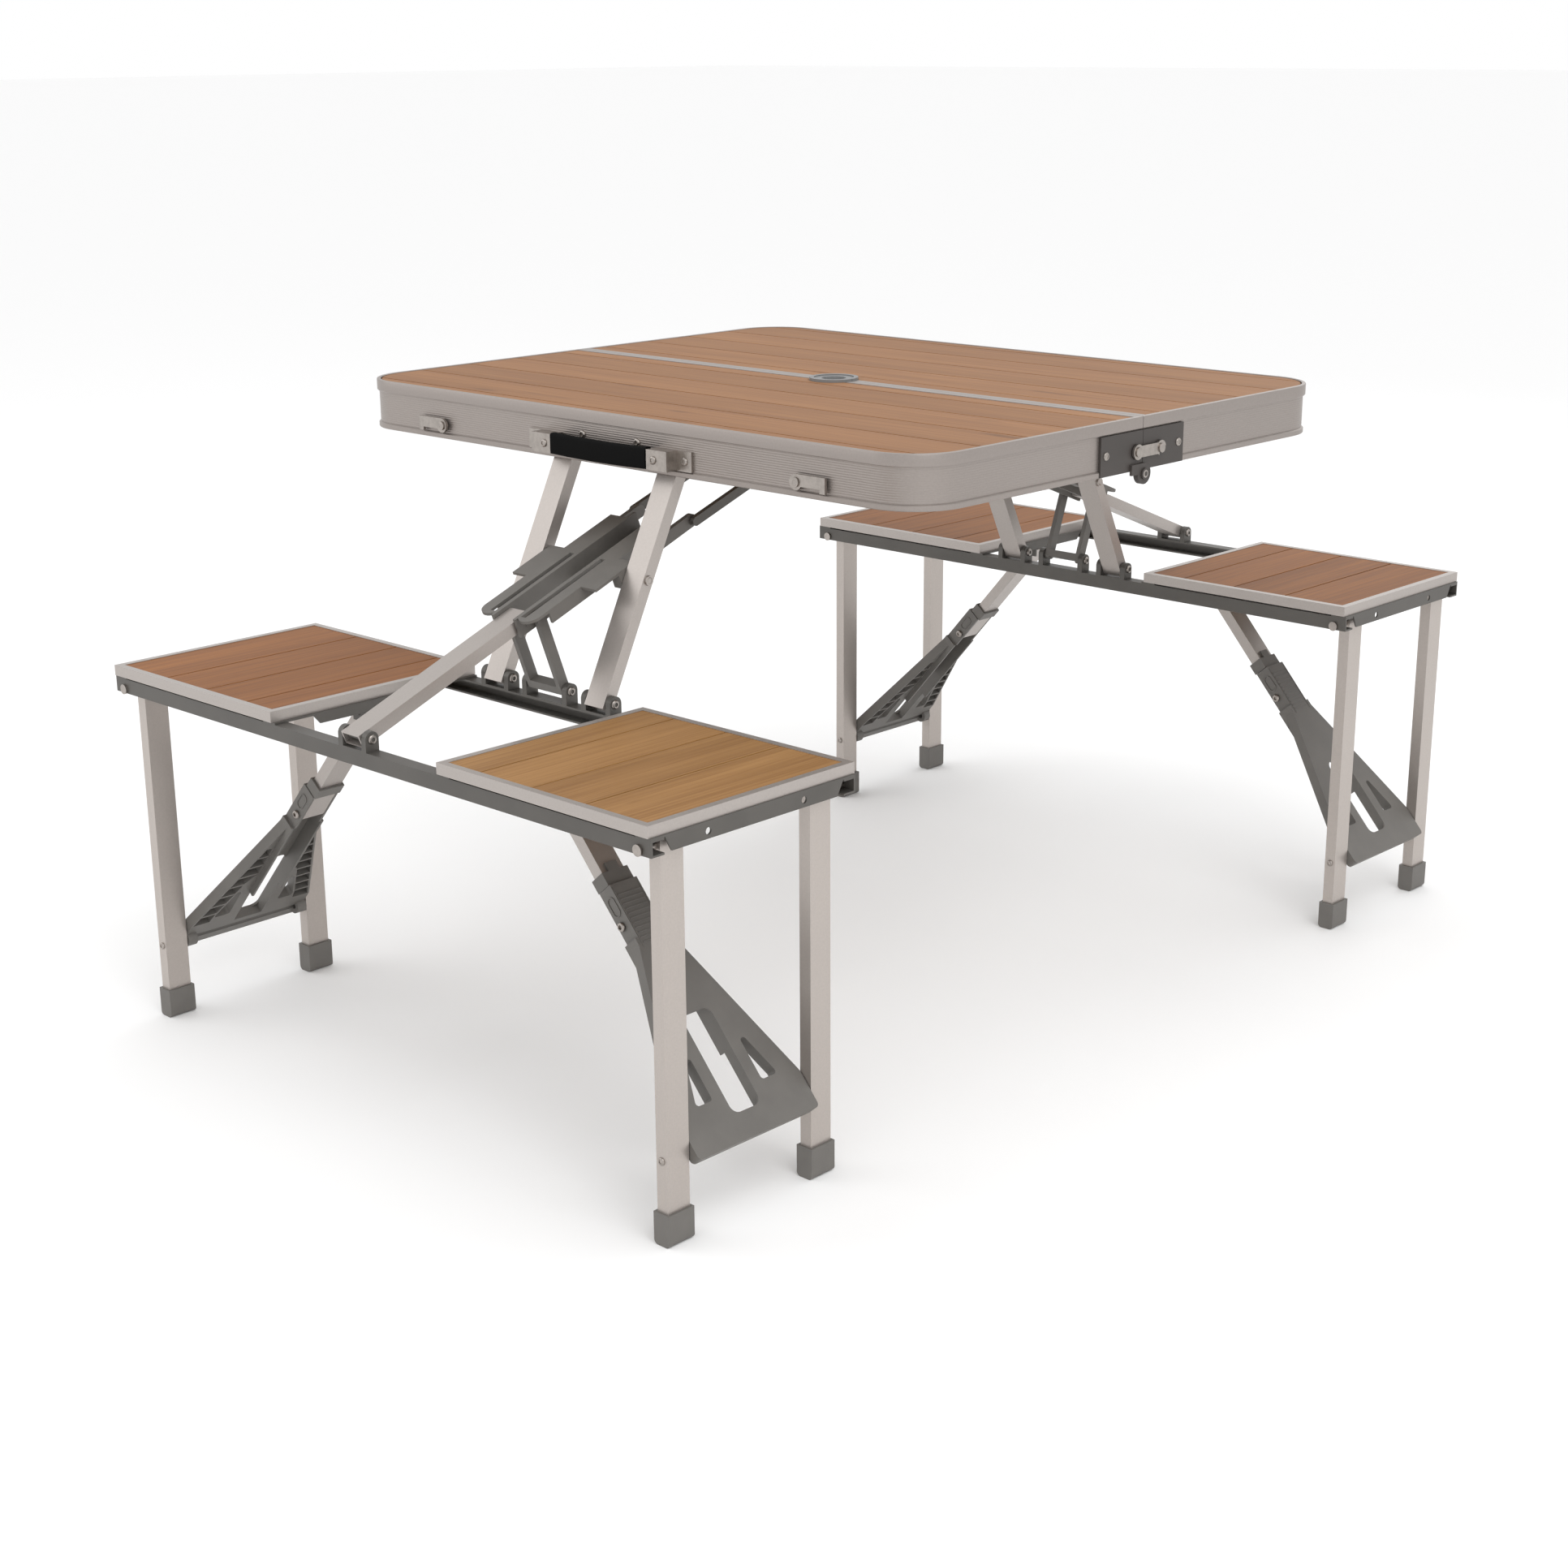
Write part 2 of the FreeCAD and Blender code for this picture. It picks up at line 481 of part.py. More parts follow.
def underside_brackets():
    """Brackets under the panel: a fork for each main strut and an ear for each slide arm."""
    pieces = []
    for side in (-1, 1):
        near = "main_x - strut_x_width / 2 - cheek_gap"
        far = "main_x + strut_x_width / 2 + cheek_gap"
        y = ("main_top_y - fork_half", "main_top_y + fork_half")
        z = ("main_top_z - fork_drop", "panel_bottom")
        parts = [box(sided(side, f"{near} - thin_cheek", near), y, z),
                 box(sided(side, far, f"{far} + thin_cheek"), y, z),
                 box(sided(side, f"{near} - thin_cheek", f"{far} + thin_cheek"),
                     y, ("panel_bottom - thin_cheek", "panel_bottom")),
                 rod("x", "link_pin", sided(side, f"{near} - thin_cheek - rivet_proud",
                                            f"{far} + thin_cheek + rivet_proud"),
                     ("main_top_y", "main_top_z"))]
        pieces.append(fuse(*parts))
        ear = "arm_in + arm_thick + ear_gap"
        ear_parts = [box(sided(side, ear, f"{ear} + thin_cheek"),
                         ("arm_top_y - arm_pin * 1.5", "arm_top_y + arm_pin * 1.5"),
                         ("arm_top_z - arm_pin * 1.5", "panel_bottom")),
                     box(sided(side, "arm_in", f"{ear} + thin_cheek"),
                         ("arm_top_y - arm_pin * 1.5", "arm_top_y + arm_pin * 1.5"),
                         ("panel_bottom - thin_cheek", "panel_bottom")),
                     rod("x", "arm_pin", sided(side, "arm_in - 1", ear), ("arm_top_y", "arm_top_z"))]
        pieces.append(fuse(*ear_parts))
    return group(*pieces)


# ---------------------------------------------------------------- linkage


def tube(x, ends, height, bores):
    """A rectangular tube along Y, with a cross bore at each pin's place."""
    low, high = ends
    inner = "- 2 * tube_wall"
    outer = box((f"{x} - strut_x_width / 2", f"{x} + strut_x_width / 2"),
                (low, high), (f"-{height} / 2", f"{height} / 2"))
    hollow = box((f"{x} - (strut_x_width {inner}) / 2", f"{x} + (strut_x_width {inner}) / 2"),
                 (f"{low} - 1", f"{high} + 1"),
                 (f"-({height} {inner}) / 2", f"({height} {inner}) / 2"))
    pins = [rod("x", "link_pin + pin_clearance",
                (f"{x} - strut_x_width / 2 - 1", f"{x} + strut_x_width / 2 + 1"), (y, 0))
            for y in bores]
    return cut(outer, hollow, *pins)


def main_struts():
    pieces = []
    for side in (-1, 1):
        x = f"{side} * main_x"
        pieces.append(tube(x, ("-main_over", "main_length + main_over"), "strut_height",
                           (0, "main_length")))
        outer = "main_x + strut_x_width / 2"
        head = sided(side, outer, f"{outer} + screw_proud * 2")
        shank = sided(side, "lug_in - lug_gap", "main_x - strut_x_width / 2 + tube_wall")
        pieces[-1] = fuse(pieces[-1], rod("x", "link_pin + 1", head, ("slide_pin_at", 0)),
                          rod("x", "link_pin", shank, ("slide_pin_at", 0)))
    return group(*pieces)


def centre_strut():
    return tube("0", ("-main_over", "centre_length + main_over"), "strut_height", (0, ))


def slide_bracket():
    """A moulded channel that turns on the main struts' slide pins, drawn along +Y from the knee.

    Its flanks hold the centre strut's knee. It is drawn with its web up and its flanges down, as
    it lies when the bench is folded.
    """
    low = "-flange_low - flange_thick"
    outer_wall = "channel_in + channel_wall"
    lug_out = "main_x - strut_x_width / 2 - lug_gap"
    strip_end = "body_end - wing_half"
    wing = ("slide_length - wing_half", "slide_length + wing_half")
    broad = ("slide_length - wing_back", "slide_length + wing_half")
    bulkhead = ("body_end - 3 * wing_half", strip_end)
    pieces = []
    for side in (-1, 1):
        pieces.append(box(sided(side, "channel_in", outer_wall), ("-tip_reach", "body_end"),
                          (low, "channel_low")))
        pieces.append(rod("x", "link_pin", sided(side, outer_wall, f"{outer_wall} + screw_proud"), (0, 0)))
        flange = fuse(box(sided(side, "channel_in", "strip_out"), ("0", strip_end),
                          (low, "-flange_low")),
                      rod("z", "(strip_out - channel_in) / 2", (low, "-flange_low"),
                          (f"{side} * (channel_in + strip_out) / 2", "0")),
                      box(sided(side, "channel_in", lug_out), broad, (low, "-flange_low")))
        slit = box(sided(side, "slit_in", "slit_in + slit_width"), ("-slit_width", "slit_end"),
                   (f"{low} - 1", "-flange_low + 1"))
        pieces.append(cut(flange, slit))
        pieces.append(box(sided(side, "strip_out - flange_thick", "strip_out"), ("wing_half", strip_end),
                          (low, "skirt_high")))
        bore = rod("x", "link_pin + pin_clearance", sided(side, "lug_in - 1", f"{lug_out} + 1"),
                   ("slide_length", 0))
        pieces.append(cut(box(sided(side, "lug_in", lug_out), wing, (low, "lug_low")), bore))
        pieces.append(box(sided(side, "channel_in", "strip_out"), bulkhead, (low, "channel_low")))
        pieces.append(box(sided(side, "prong_in", "strip_out"), (bulkhead[0], "prong_at"),
                          ("prong_offset - prong_radius", "prong_offset + prong_radius")))
        pieces.append(rod("x", "prong_radius", sided(side, "prong_in", "strip_out"),
                          ("prong_at", "prong_offset")))
    web = box((f"-({outer_wall})", outer_wall), ("web_start", "body_end"),
              ("channel_low", "channel_low + channel_web"))
    return fuse(web, *pieces)


def slide_arms():
    pieces = []
    for side in (-1, 1):
        span = sided(side, "arm_in", "arm_in + arm_thick")
        wide = sided(side, "arm_in - 1", "arm_in + arm_thick + 1")
        bar = box(span, (0, "arm_length"), ("-arm_height / 2", "arm_height / 2"))
        eye = rod("x", "arm_height / 2", span, (0, 0))
        tip = rod("x", "arm_height / 2", span, ("arm_length", 0))
        bore = rod("x", "arm_pin + pin_clearance", wide, (0, 0))
        pieces.append(cut(fuse(bar, eye, tip), bore))
    return group(*pieces)


def v_link():
    """A ribbed frame with two legs, turning on the near rail, drawn along +Y from its pivot."""
    pieces = []
    out = "v_leg_in + v_leg_thick"
    for side in (-1, 1):
        pieces.append(box(sided(side, "v_leg_in", out), (0, "v_length"), ("-v_height / 2", "v_height / 2")))
        pieces.append(rod("x", "v_height / 2", sided(side, "v_leg_in", out), (0, 0)))
        pieces.append(rod("x", "v_height / 2", sided(side, "v_leg_in", out), ("v_length", 0)))
    pieces.append(box((f"-({out})", out), ("-v_height / 4", "v_height / 2"),
                      ("-v_height / 2", "v_height / 2")))
    bore = rod("x", "arm_pin + pin_clearance", (f"-({out}) - 1", f"{out} + 1"), (0, 0))
    return cut(fuse(*pieces), bore)


# ---------------------------------------------------------------- bench


def bench_rails():
    """Two channels with their open sides towards the legs."""
    rails = []
    for start, mouth in (("near_rail", 1), ("far_rail", -1)):
        body = box(("-rail_half", "rail_half"), (start, f"{start} + rail_size"),
                   ("rail_low", "rail_top"))
        low = f"{start} + rail_wall" if mouth > 0 else f"{start} - 1"
        high = f"{start} + rail_size + 1" if mouth > 0 else f"{start} + rail_size - rail_wall"
        hollow = box(("-rail_half - 1", "rail_half + 1"), (low, high),
                     ("rail_low + rail_wall", "rail_top - rail_wall"))
        holes = []
        for side in (-1, 1):
            holes.append(rod("y", "leg_bolt", (f"{start} - 1", f"{start} + rail_size + 1"),
                             (f"{side} * leg_x", "leg_z")))
        rails.append(cut(body, hollow, *holes))
    return group(*rails)


def cross_angles():
    """Four angles across the rails, under the ends of the seats."""
    pieces = []
    for side in (-1, 1):
        for spot, drop in (("outer", "outer_angle_drop"), ("inner", "inner_angle_drop")):
            if spot == "outer":
                flat = ("seat_out + angle_thickness - angle_width", "seat_out + angle_thickness")
                web = ("seat_out", "seat_out + angle_thickness")
                low = "near_rail + rail_size + angle_clearance"
                high = "far_rail - angle_clearance"
            else:
                flat = ("seat_in - 2 * angle_thickness", "seat_in - 2 * angle_thickness + angle_width")
                web = ("seat_in - 2 * angle_thickness", "seat_in - angle_thickness")
                low = "leg_near + leg_wide / 2 + angle_clearance * 2.5"
                high = "leg_far - leg_wide / 2 - angle_clearance"
            flat = sided(side, *flat)
            web = sided(side, *web)
            plate = box(flat, ("near_rail", "far_rail + rail_size"), ("rail_top", "seat_low"))
            a, b, top = number(low), number(high), VALUES["rail_top"]
            deep = top - VALUES[drop]
            bevel = VALUES["angle_bevel"]
            outline = [(a, top), (b, top), (b - bevel, deep), (a + bevel, deep)]
            flange = prism(outline, "x", web)
            angle = fuse(plate, flange)
            if spot == "outer":
                wide = (f"{web[0]} - 1", f"{web[1]} + 1")
                middle = "(near_rail + far_rail + rail_size) / 2"
                height = f"rail_top - {drop} / 2"
                angle = cut(angle, *[rod("x", "screw_radius", wide,
                                         (f"{middle} + {k} * angle_hole_y", height))
                                     for k in (-1, 1)])
            pieces.append(angle)
    return group(*pieces)


def pivot_brackets():
    """Forks on the rails for the main struts, the centre strut and the V link."""
    pieces = []
    forks = [(f"{side} * main_x", "strut_x_width / 2 + cheek_gap", "cheek_thick", "main_low_y",
              "main_low_z", "link_pin", "near_rail") for side in (-1, 1)]
    forks.append(("0", "strut_x_width / 2 + cheek_gap", "cheek_thick", "centre_low_y", "main_low_z",
                  "link_pin", "far_rail"))
    forks.append(("0", "v_leg_in + v_leg_thick + cheek_gap", "cheek_thick", "main_low_y", "v_low_z",
                  "arm_pin", "near_rail"))
    for x, gap, thick, y, z, pin, rail in forks:
        depth = (f"{rail}", f"{rail} + rail_size")
        parts = [box((f"{x} - ({gap}) - {thick}", f"{x} + {gap} + {thick}"), depth,
                     ("rail_top", "rail_top + angle_thickness / 2"))]
        for side in (-1, 1):
            ends = (f"{x} + {gap}", f"{x} + {gap} + {thick}")
            if side < 0:
                ends = (f"{x} - ({gap}) - {thick}", f"{x} - ({gap})")
            parts.append(box(ends, depth, ("rail_top", z)))
            parts.append(rod("x", "rail_size / 2", ends, (f"{rail} + rail_size / 2", z)))
        reach = f"{gap} + {thick} + screw_proud"
        parts.append(rod("x", pin, (f"{x} - ({reach})", f"{x} + {reach}"), (y, z)))
        pieces.append(fuse(*parts))
    for side in (-1, 1):
        near = "seat_in - angle_thickness"
        ends = sided(side, near, f"{near} + angle_width - angle_thickness")
        for face in (-1, 1):
            inner = "strut_wide / 2 + sleeve_clearance"
            outer = f"{inner} + thin_cheek"
            y = (f"mid_y + {inner}", f"mid_y + {outer}")
            if face < 0:
                y = (f"mid_y - ({outer})", f"mid_y - ({inner})")
            pieces.append(box(ends, y, ("strut_pin_z - knee_pin * 2.5", "rail_top")))
        pieces.append(rod("y", "knee_pin", ("mid_y - slot_half + 0.5", "mid_y + slot_half - 0.5"),
                          (f"{side} * strut_pin_x", "strut_pin_z")))
    return group(*pieces)


def bench_bolts():
    """Bolts that the legs turn on: one through each rail and the leg beside it."""
    pieces = []
    for side in (-1, 1):
        x = f"{side} * leg_x"
        near = ("near_rail - screw_proud", "leg_near + leg_wide / 2")
        far = ("leg_far - leg_wide / 2", "far_rail + rail_size + screw_proud")
        pieces.append(fuse(
            rod("y", "leg_bolt", near, (x, "leg_z")),
            rod("y", "leg_bolt + bolt_rim", ("near_rail - screw_proud * 2", "near_rail"), (x, "leg_z"))))
        pieces.append(fuse(
            rod("y", "leg_bolt", far, (x, "leg_z")),
            rod("y", "leg_bolt + bolt_rim",
                ("far_rail + rail_size", "far_rail + rail_size + screw_proud * 2"), (x, "leg_z"))))
    return group(*pieces)


def seat_frames():
    pieces = []
    for side in (-1, 1):
        block = box(sided(side, "seat_in", "seat_out"), ("seat_near", "seat_far"), ("seat_low", "seat_top"))
        recess = box(sided(side, "seat_in + seat_lip", "seat_out - seat_lip"),
                     ("seat_near + seat_lip", "seat_far - seat_lip"),
                     ("seat_low + seat_flange_height", "seat_top + 1"))
        opening = box(sided(side, "seat_in + seat_flange", "seat_out - seat_flange"),
                      ("seat_near + seat_flange", "seat_far - seat_flange"),
                      ("seat_low - 1", "seat_top + 1"))
        pieces.append(cut(block, recess, opening))
    return group(*pieces)


def seat_planks():
    """Planks laid across each seat; the innermost takes up what is left."""
    pieces = []
    low = "seat_in + seat_lip"
    high = "seat_out - seat_lip"
    span = number(high) - number(low) - VALUES["outer_plank"] - VALUES["plank_gap"]
    count = 1 + math.ceil(span / VALUES["plank_width"])
    starts = [high] + [f"{high} - outer_plank - {k} * plank_width" for k in range(count - 1)]
    ends_at = [f"({start}) + plank_gap" for start in starts[1:]] + [low]
    for side in (-1, 1):
        for outer, inner in zip(starts, ends_at):
            ends = (inner, outer) if side > 0 else (f"-({outer})", f"-({inner})")
            pieces.append(box(ends, ("seat_near + seat_lip", "seat_far - seat_lip"),
                              ("seat_low + seat_flange_height", "seat_top - board_sunk")))
    return group(*pieces)


# ---------------------------------------------------------------- legs and braces


def leg_pair():
    pieces = []
    for y in ("leg_near", "leg_far"):
        outer = box(("leg_x - leg_thick / 2", "leg_x + leg_thick / 2"),
                    (f"{y} - leg_wide / 2", f"{y} + leg_wide / 2"), ("foot_floor", "leg_z + leg_over"))
        hollow = box(("leg_x - leg_thick / 2 + tube_wall", "leg_x + leg_thick / 2 - tube_wall"),
                     (f"{y} - leg_wide / 2 + tube_wall", f"{y} + leg_wide / 2 - tube_wall"),
                     ("foot_floor - 1", "leg_z + leg_over + 1"))
        bore = rod("y", "leg_bolt + pin_clearance", (f"{y} - leg_wide", f"{y} + leg_wide"),
                   ("leg_x", "leg_z"))
        pieces.append(cut(outer, hollow, bore))
        head = (f"{y} - leg_wide / 2 - screw_proud", f"{y} - leg_wide / 2")
        if y == "leg_far":
            head = (f"{y} + leg_wide / 2", f"{y} + leg_wide / 2 + screw_proud")
        pieces.append(rod("y", "screw_radius", head, ("leg_x", "brace_low_z")))
    return group(*pieces)


def feet():
    """Caps over the leg ends, rounded below about Y, with a small flat to stand on."""
    pieces = []
    radius = "foot_thick / 2"
    for y in ("leg_near", "leg_far"):
        depth = (f"{y} - foot_wide / 2", f"{y} + foot_wide / 2")
        top = box(("leg_x - foot_thick / 2", "leg_x + foot_thick / 2"), depth, (radius, "foot_height"))
        base = box(("leg_x - foot_flat", "leg_x + foot_flat"), depth, (0, radius))
        sides = [rod("y", "foot_thick / 2 - foot_flat", depth, (f"leg_x + {k} * foot_flat",
                                                                "foot_thick / 2 - foot_flat"))
                 for k in (-1, 1)]
        fill = box(("leg_x - foot_thick / 2", "leg_x + foot_thick / 2"), depth,
                   ("foot_thick / 2 - foot_flat", radius))
        socket = box(("leg_x - leg_thick / 2", "leg_x + leg_thick / 2"),
                     (f"{y} - leg_wide / 2", f"{y} + leg_wide / 2"), ("foot_floor", "foot_height + 1"))
        pieces.append(cut(fuse(top, base, fill, *sides), socket))
    return group(*pieces)


def brace_plate():
    """A moulded plate between a pair of legs, drawn along +X from the knee; +Z is its outer face.

    Above the knee it is a sleeve over the strut. Below, it flares out to the legs, with a long
    slot between two windows, and it is hollow behind, so the folded strut lies inside it.
    """
    v = VALUES
    half = (v["leg_far"] - v["leg_near"] - v["leg_wide"]) / 2 - v["side_clearance"]
    inner = v["strut_wide"] / 2 + v["sleeve_clearance"]
    slot = v["slot_half"] + v["sleeve_wall"]
    end = v["brace_plate_length"] + v["brace_end"]
    shoulder = v["brace_plate_length"] - v["shoulder_back"]
    slope = (half - slot) / (shoulder - v["flare_start"])
    rib = v["brace_rib"]

    def edge(x, rim=0.0):
        """Half the plate's width at a place along it, less a rim."""
        return slot + max(0.0, min(x, shoulder) - v["flare_start"]) * slope - rim

    low = slot + v["window_gap"]
    tip = v["flare_start"] + (v["window_gap"] + v["brace_rim"]) / slope
    far = v["slot_end"] - v["window_back"]

    def start_of(x):
        """Where a pocket starts across the plate: past the slot's wall, or past the window."""
        return max(slot, edge(x, v["brace_rim"]) if tip < x <= far else slot) + rib

    side = [(-v["sleeve_reach"], inner + v["sleeve_wall"]), (v["recess_start"], slot),
            (v["flare_start"], slot), (shoulder, half), (end, half)]
    outline = side + [(x, -y) for x, y in reversed(side)]
    body = prism(outline, "z", (0, "plate_out"), v["plate_corner"])
    walls = box(("-sleeve_reach", "wall_end"), (f"-{slot}", f"{slot}"), ("-plate_in", "plate_out"))
    corners = [box(("-sleeve_reach - 1", "recess_start"),
                   sided(k, f"{inner} + sleeve_wall", f"{slot} + 1"),
                   ("-plate_in - 1", "plate_out + 1")) for k in (-1, 1)]
    channel = box(("-sleeve_reach - 1", "recess_start + 1"), (f"-{inner}", f"{inner}"),
                  ("-plate_in - 1", "strut_thick / 2 + web_gap"))
    recess = box(("recess_start", "slot_end"), ("-slot_half", "slot_half"),
                 ("-plate_in - 1", "plate_out - brace_skin"))
    slot_hole = prism([(v["slot_start"], -v["slot_half"]), (v["slot_end"], -v["slot_half"]),
                       (v["slot_end"], v["slot_half"]), (v["slot_start"], v["slot_half"])], "z",
                      (0, "plate_out + 1"), v["slot_corner"])
    holes = [channel, recess, slot_hole, *corners]
    for k in (-1, 1):
        window = [(tip, k * low), (far, k * low), (far, k * edge(far, v["brace_rim"]))]
        holes.append(prism(window, "z", ("-1", "plate_out + 1"), v["window_corner"]))
        x = shoulder
        while edge(x - v["pocket_pitch"], rib) > slot + 2 * rib:
            back = x - v["pocket_pitch"] + rib
            ahead = min(x, far) if back < far else x
            pocket = [(back, k * start_of(back)), (x, k * start_of(ahead)),
                      (x, k * edge(x, rib)), (back, k * edge(back, rib))]
            holes.append(prism(pocket, "z", ("-1", "plate_out - brace_skin")))
            x -= v["pocket_pitch"]
    pin = rod("y", "knee_pin + pin_clearance", (f"-{slot} - 1", f"{slot} + 1"), (0, 0))
    bores = rod("y", "screw_radius", (f"-{half} - 1", f"{half} + 1"), ("brace_plate_length", 0))
    boss = rod("y", "boss_radius", (f"-{half}", f"{half}"), ("brace_plate_length", 0))
    trim = box(("slot_end", "brace_plate_length + boss_radius + 1"),
               (f"-{half} + boss_reach", f"{half} - boss_reach"), ("-boss_radius - 1", 0))
    return cut(fuse(body, walls, cut(boss, trim)), *holes, pin, bores)


def brace_strut():
    """The tube above the knee, drawn along +X from its upper pin to the knee."""
    outer = box(("-strut_over", "brace_strut_length"), ("-strut_wide / 2", "strut_wide / 2"),
                ("-strut_thick / 2", "strut_thick / 2"))
    end = rod("y", "strut_thick / 2", ("-strut_wide / 2", "strut_wide / 2"),
              ("brace_strut_length", 0))
    hollow = box(("-strut_over - 1", "brace_strut_length - strut_thick / 2"),
                 ("-strut_wide / 2 + tube_wall", "strut_wide / 2 - tube_wall"),
                 ("-strut_thick / 2 + tube_wall", "strut_thick / 2 - tube_wall"))
    top_bore = rod("y", "knee_pin + pin_clearance", ("-strut_wide", "strut_wide"), (0, 0))
    reach = "strut_wide / 2 + sleeve_clearance + sleeve_wall"
    pin = rod("y", "knee_pin", (f"-({reach}) - screw_proud", f"{reach} + screw_proud"),
              ("brace_strut_length", 0))
    return fuse(cut(fuse(outer, end), hollow, top_bore), pin)


def brace_collar():
    """A ring that slides on the strut, with a thumb tongue, drawn in the strut's frame."""
    low = "brace_strut_length - collar_near - collar_length"
    ends = (low, f"{low} + collar_length")
    half = "strut_wide / 2 + collar_wall"
    ring = box(ends, (f"-({half})", half), ("-collar_deep", "collar_deep"))
    tongue = box((f"{low} - collar_tongue", low), ("-strut_wide / 4", "strut_wide / 4"),
                 ("strut_thick / 2 + collar_gap", "collar_deep"))
    bore = box((f"{low} - 1", f"{low} + collar_length + 1"),
               ("-strut_wide / 2 - collar_gap", "strut_wide / 2 + collar_gap"),
               ("-strut_thick / 2 - collar_gap", "strut_thick / 2 + collar_gap"))
    return cut(fuse(ring, tongue), bore)


def brace_place(x, z):
    """The place of a brace piece that runs down and outwards at the brace's angle."""
    base = FreeCAD.Vector(VALUES[x], VALUES["mid_y"], VALUES[z])
    return FreeCAD.Placement(base, FreeCAD.Rotation(Y_AXIS, VALUES["brace_angle"]))


# ---------------------------------------------------------------- assembly

for half, place in HALVES:
    front = half == "front"
    node(f"{half}_rim", rim(), place)
    node(f"{half}_top_panel", panel(), place)
    node(f"{half}_parasol_ring", ring_half(), place)
    node(f"{half}_hinge_plates", hinge_plates(front), place)
    node(f"{half}_underside_brackets", underside_brackets(), place)
    studs = end_screws() + hook_pins("hook_y" if front else "catch_y")
    if front:
        studs += latch_studs()
    node(f"{half}_table_screws", group(*studs), place)
    node(f"{half}_main_struts", main_struts(),
         place * turned("main_top_y", "main_top_z", "main_angle"))
    node(f"{half}_centre_strut", centre_strut(),
         place * turned("centre_low_y", "main_low_z", "centre_angle"))
    node(f"{half}_slide_bracket", slide_bracket(),
         place * turned("link_knee_y", "link_knee_z", "slide_angle"))
    node(f"{half}_slide_arms", slide_arms(), place * turned("arm_top_y", "arm_top_z", "arm_angle"))
    node(f"{half}_v_link", v_link(), place * turned("main_low_y", "v_low_z", "v_angle"))
    node(f"{half}_bench_rails", bench_rails(), place)
    node(f"{half}_cross_angles", cross_angles(), place)
    node(f"{half}_pivot_brackets", pivot_brackets(), place)
    node(f"{half}_bench_bolts", bench_bolts(), place)
    node(f"{half}_seat_frames", seat_frames(), place)
    node(f"{half}_seat_planks", seat_planks(), place)
    middle = FreeCAD.Vector(0, VALUES["mid_y"], 0)
    for end in ("right", "left"):
        turn = FreeCAD.Rotation(Z_AXIS, 0 if (end == "right") != front else 180)
        spin = place * FreeCAD.Placement(FreeCAD.Vector(), turn, middle)
        name = f"{half}_{end}"
        node(f"{name}_leg_pair", leg_pair(), spin)
        node(f"{name}_feet", feet(), spin)
        node(f"{name}_brace_plate", brace_plate(), spin * brace_place("knee_x", "knee_z"))
        upper = spin * brace_place("strut_pin_x", "strut_pin_z")
        node(f"{name}_brace_strut", brace_strut(), upper)
        node(f"{name}_brace_collar", brace_collar(), upper)

for end, side in (("left", -1), ("right", 1)):
    node(f"{end}_end_hook", end_hook(side), REAR)
    node(f"{end}_case_latch", case_latch(-side), HALF_TURN)
node("handle_brackets", handle_brackets(), HALF_TURN)
node("handle_grip", grip(), HALF_TURN)

doc.recompute()
for piece in doc.Objects:
    if "Invalid" in piece.State or "Error" in piece.State:
        raise RuntimeError(f"{piece.Label} did not compute")
os.makedirs("parts", exist_ok=True)
for piece in NODES:
    if piece.Shape.isNull() or not piece.Shape.isValid():
        raise RuntimeError(f"{piece.Label} has no valid shape")
    piece.Shape.exportStep(f"parts/{piece.Label}.step")
print(len(NODES), "sub-parts")
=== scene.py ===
"""The look of a folding picnic table: boards, ribbed rims, moulded braces, screws and light."""
import bpy
import bmesh
import json
import math
from mathutils import Matrix, Vector


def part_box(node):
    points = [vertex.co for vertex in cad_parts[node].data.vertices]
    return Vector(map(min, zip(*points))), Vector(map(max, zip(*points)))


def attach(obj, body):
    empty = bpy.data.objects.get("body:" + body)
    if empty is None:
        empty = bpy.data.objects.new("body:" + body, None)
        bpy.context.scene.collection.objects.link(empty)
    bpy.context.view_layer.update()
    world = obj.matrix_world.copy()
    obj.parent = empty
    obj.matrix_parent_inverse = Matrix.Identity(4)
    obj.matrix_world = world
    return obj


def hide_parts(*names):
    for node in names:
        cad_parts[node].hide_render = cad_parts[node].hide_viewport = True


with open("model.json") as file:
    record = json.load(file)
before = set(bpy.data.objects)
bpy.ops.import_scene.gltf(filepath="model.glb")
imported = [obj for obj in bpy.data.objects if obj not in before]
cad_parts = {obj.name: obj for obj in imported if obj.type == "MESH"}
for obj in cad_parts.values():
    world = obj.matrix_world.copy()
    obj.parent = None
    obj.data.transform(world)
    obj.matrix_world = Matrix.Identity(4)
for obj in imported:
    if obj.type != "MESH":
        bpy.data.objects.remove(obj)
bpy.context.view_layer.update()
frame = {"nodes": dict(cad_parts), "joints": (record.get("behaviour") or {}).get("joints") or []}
NODES = frame["nodes"]
HALVES = ("rear", "front")
ENDS = ("left", "right")
MM = 0.001

# ---------------------------------------------------------------- materials


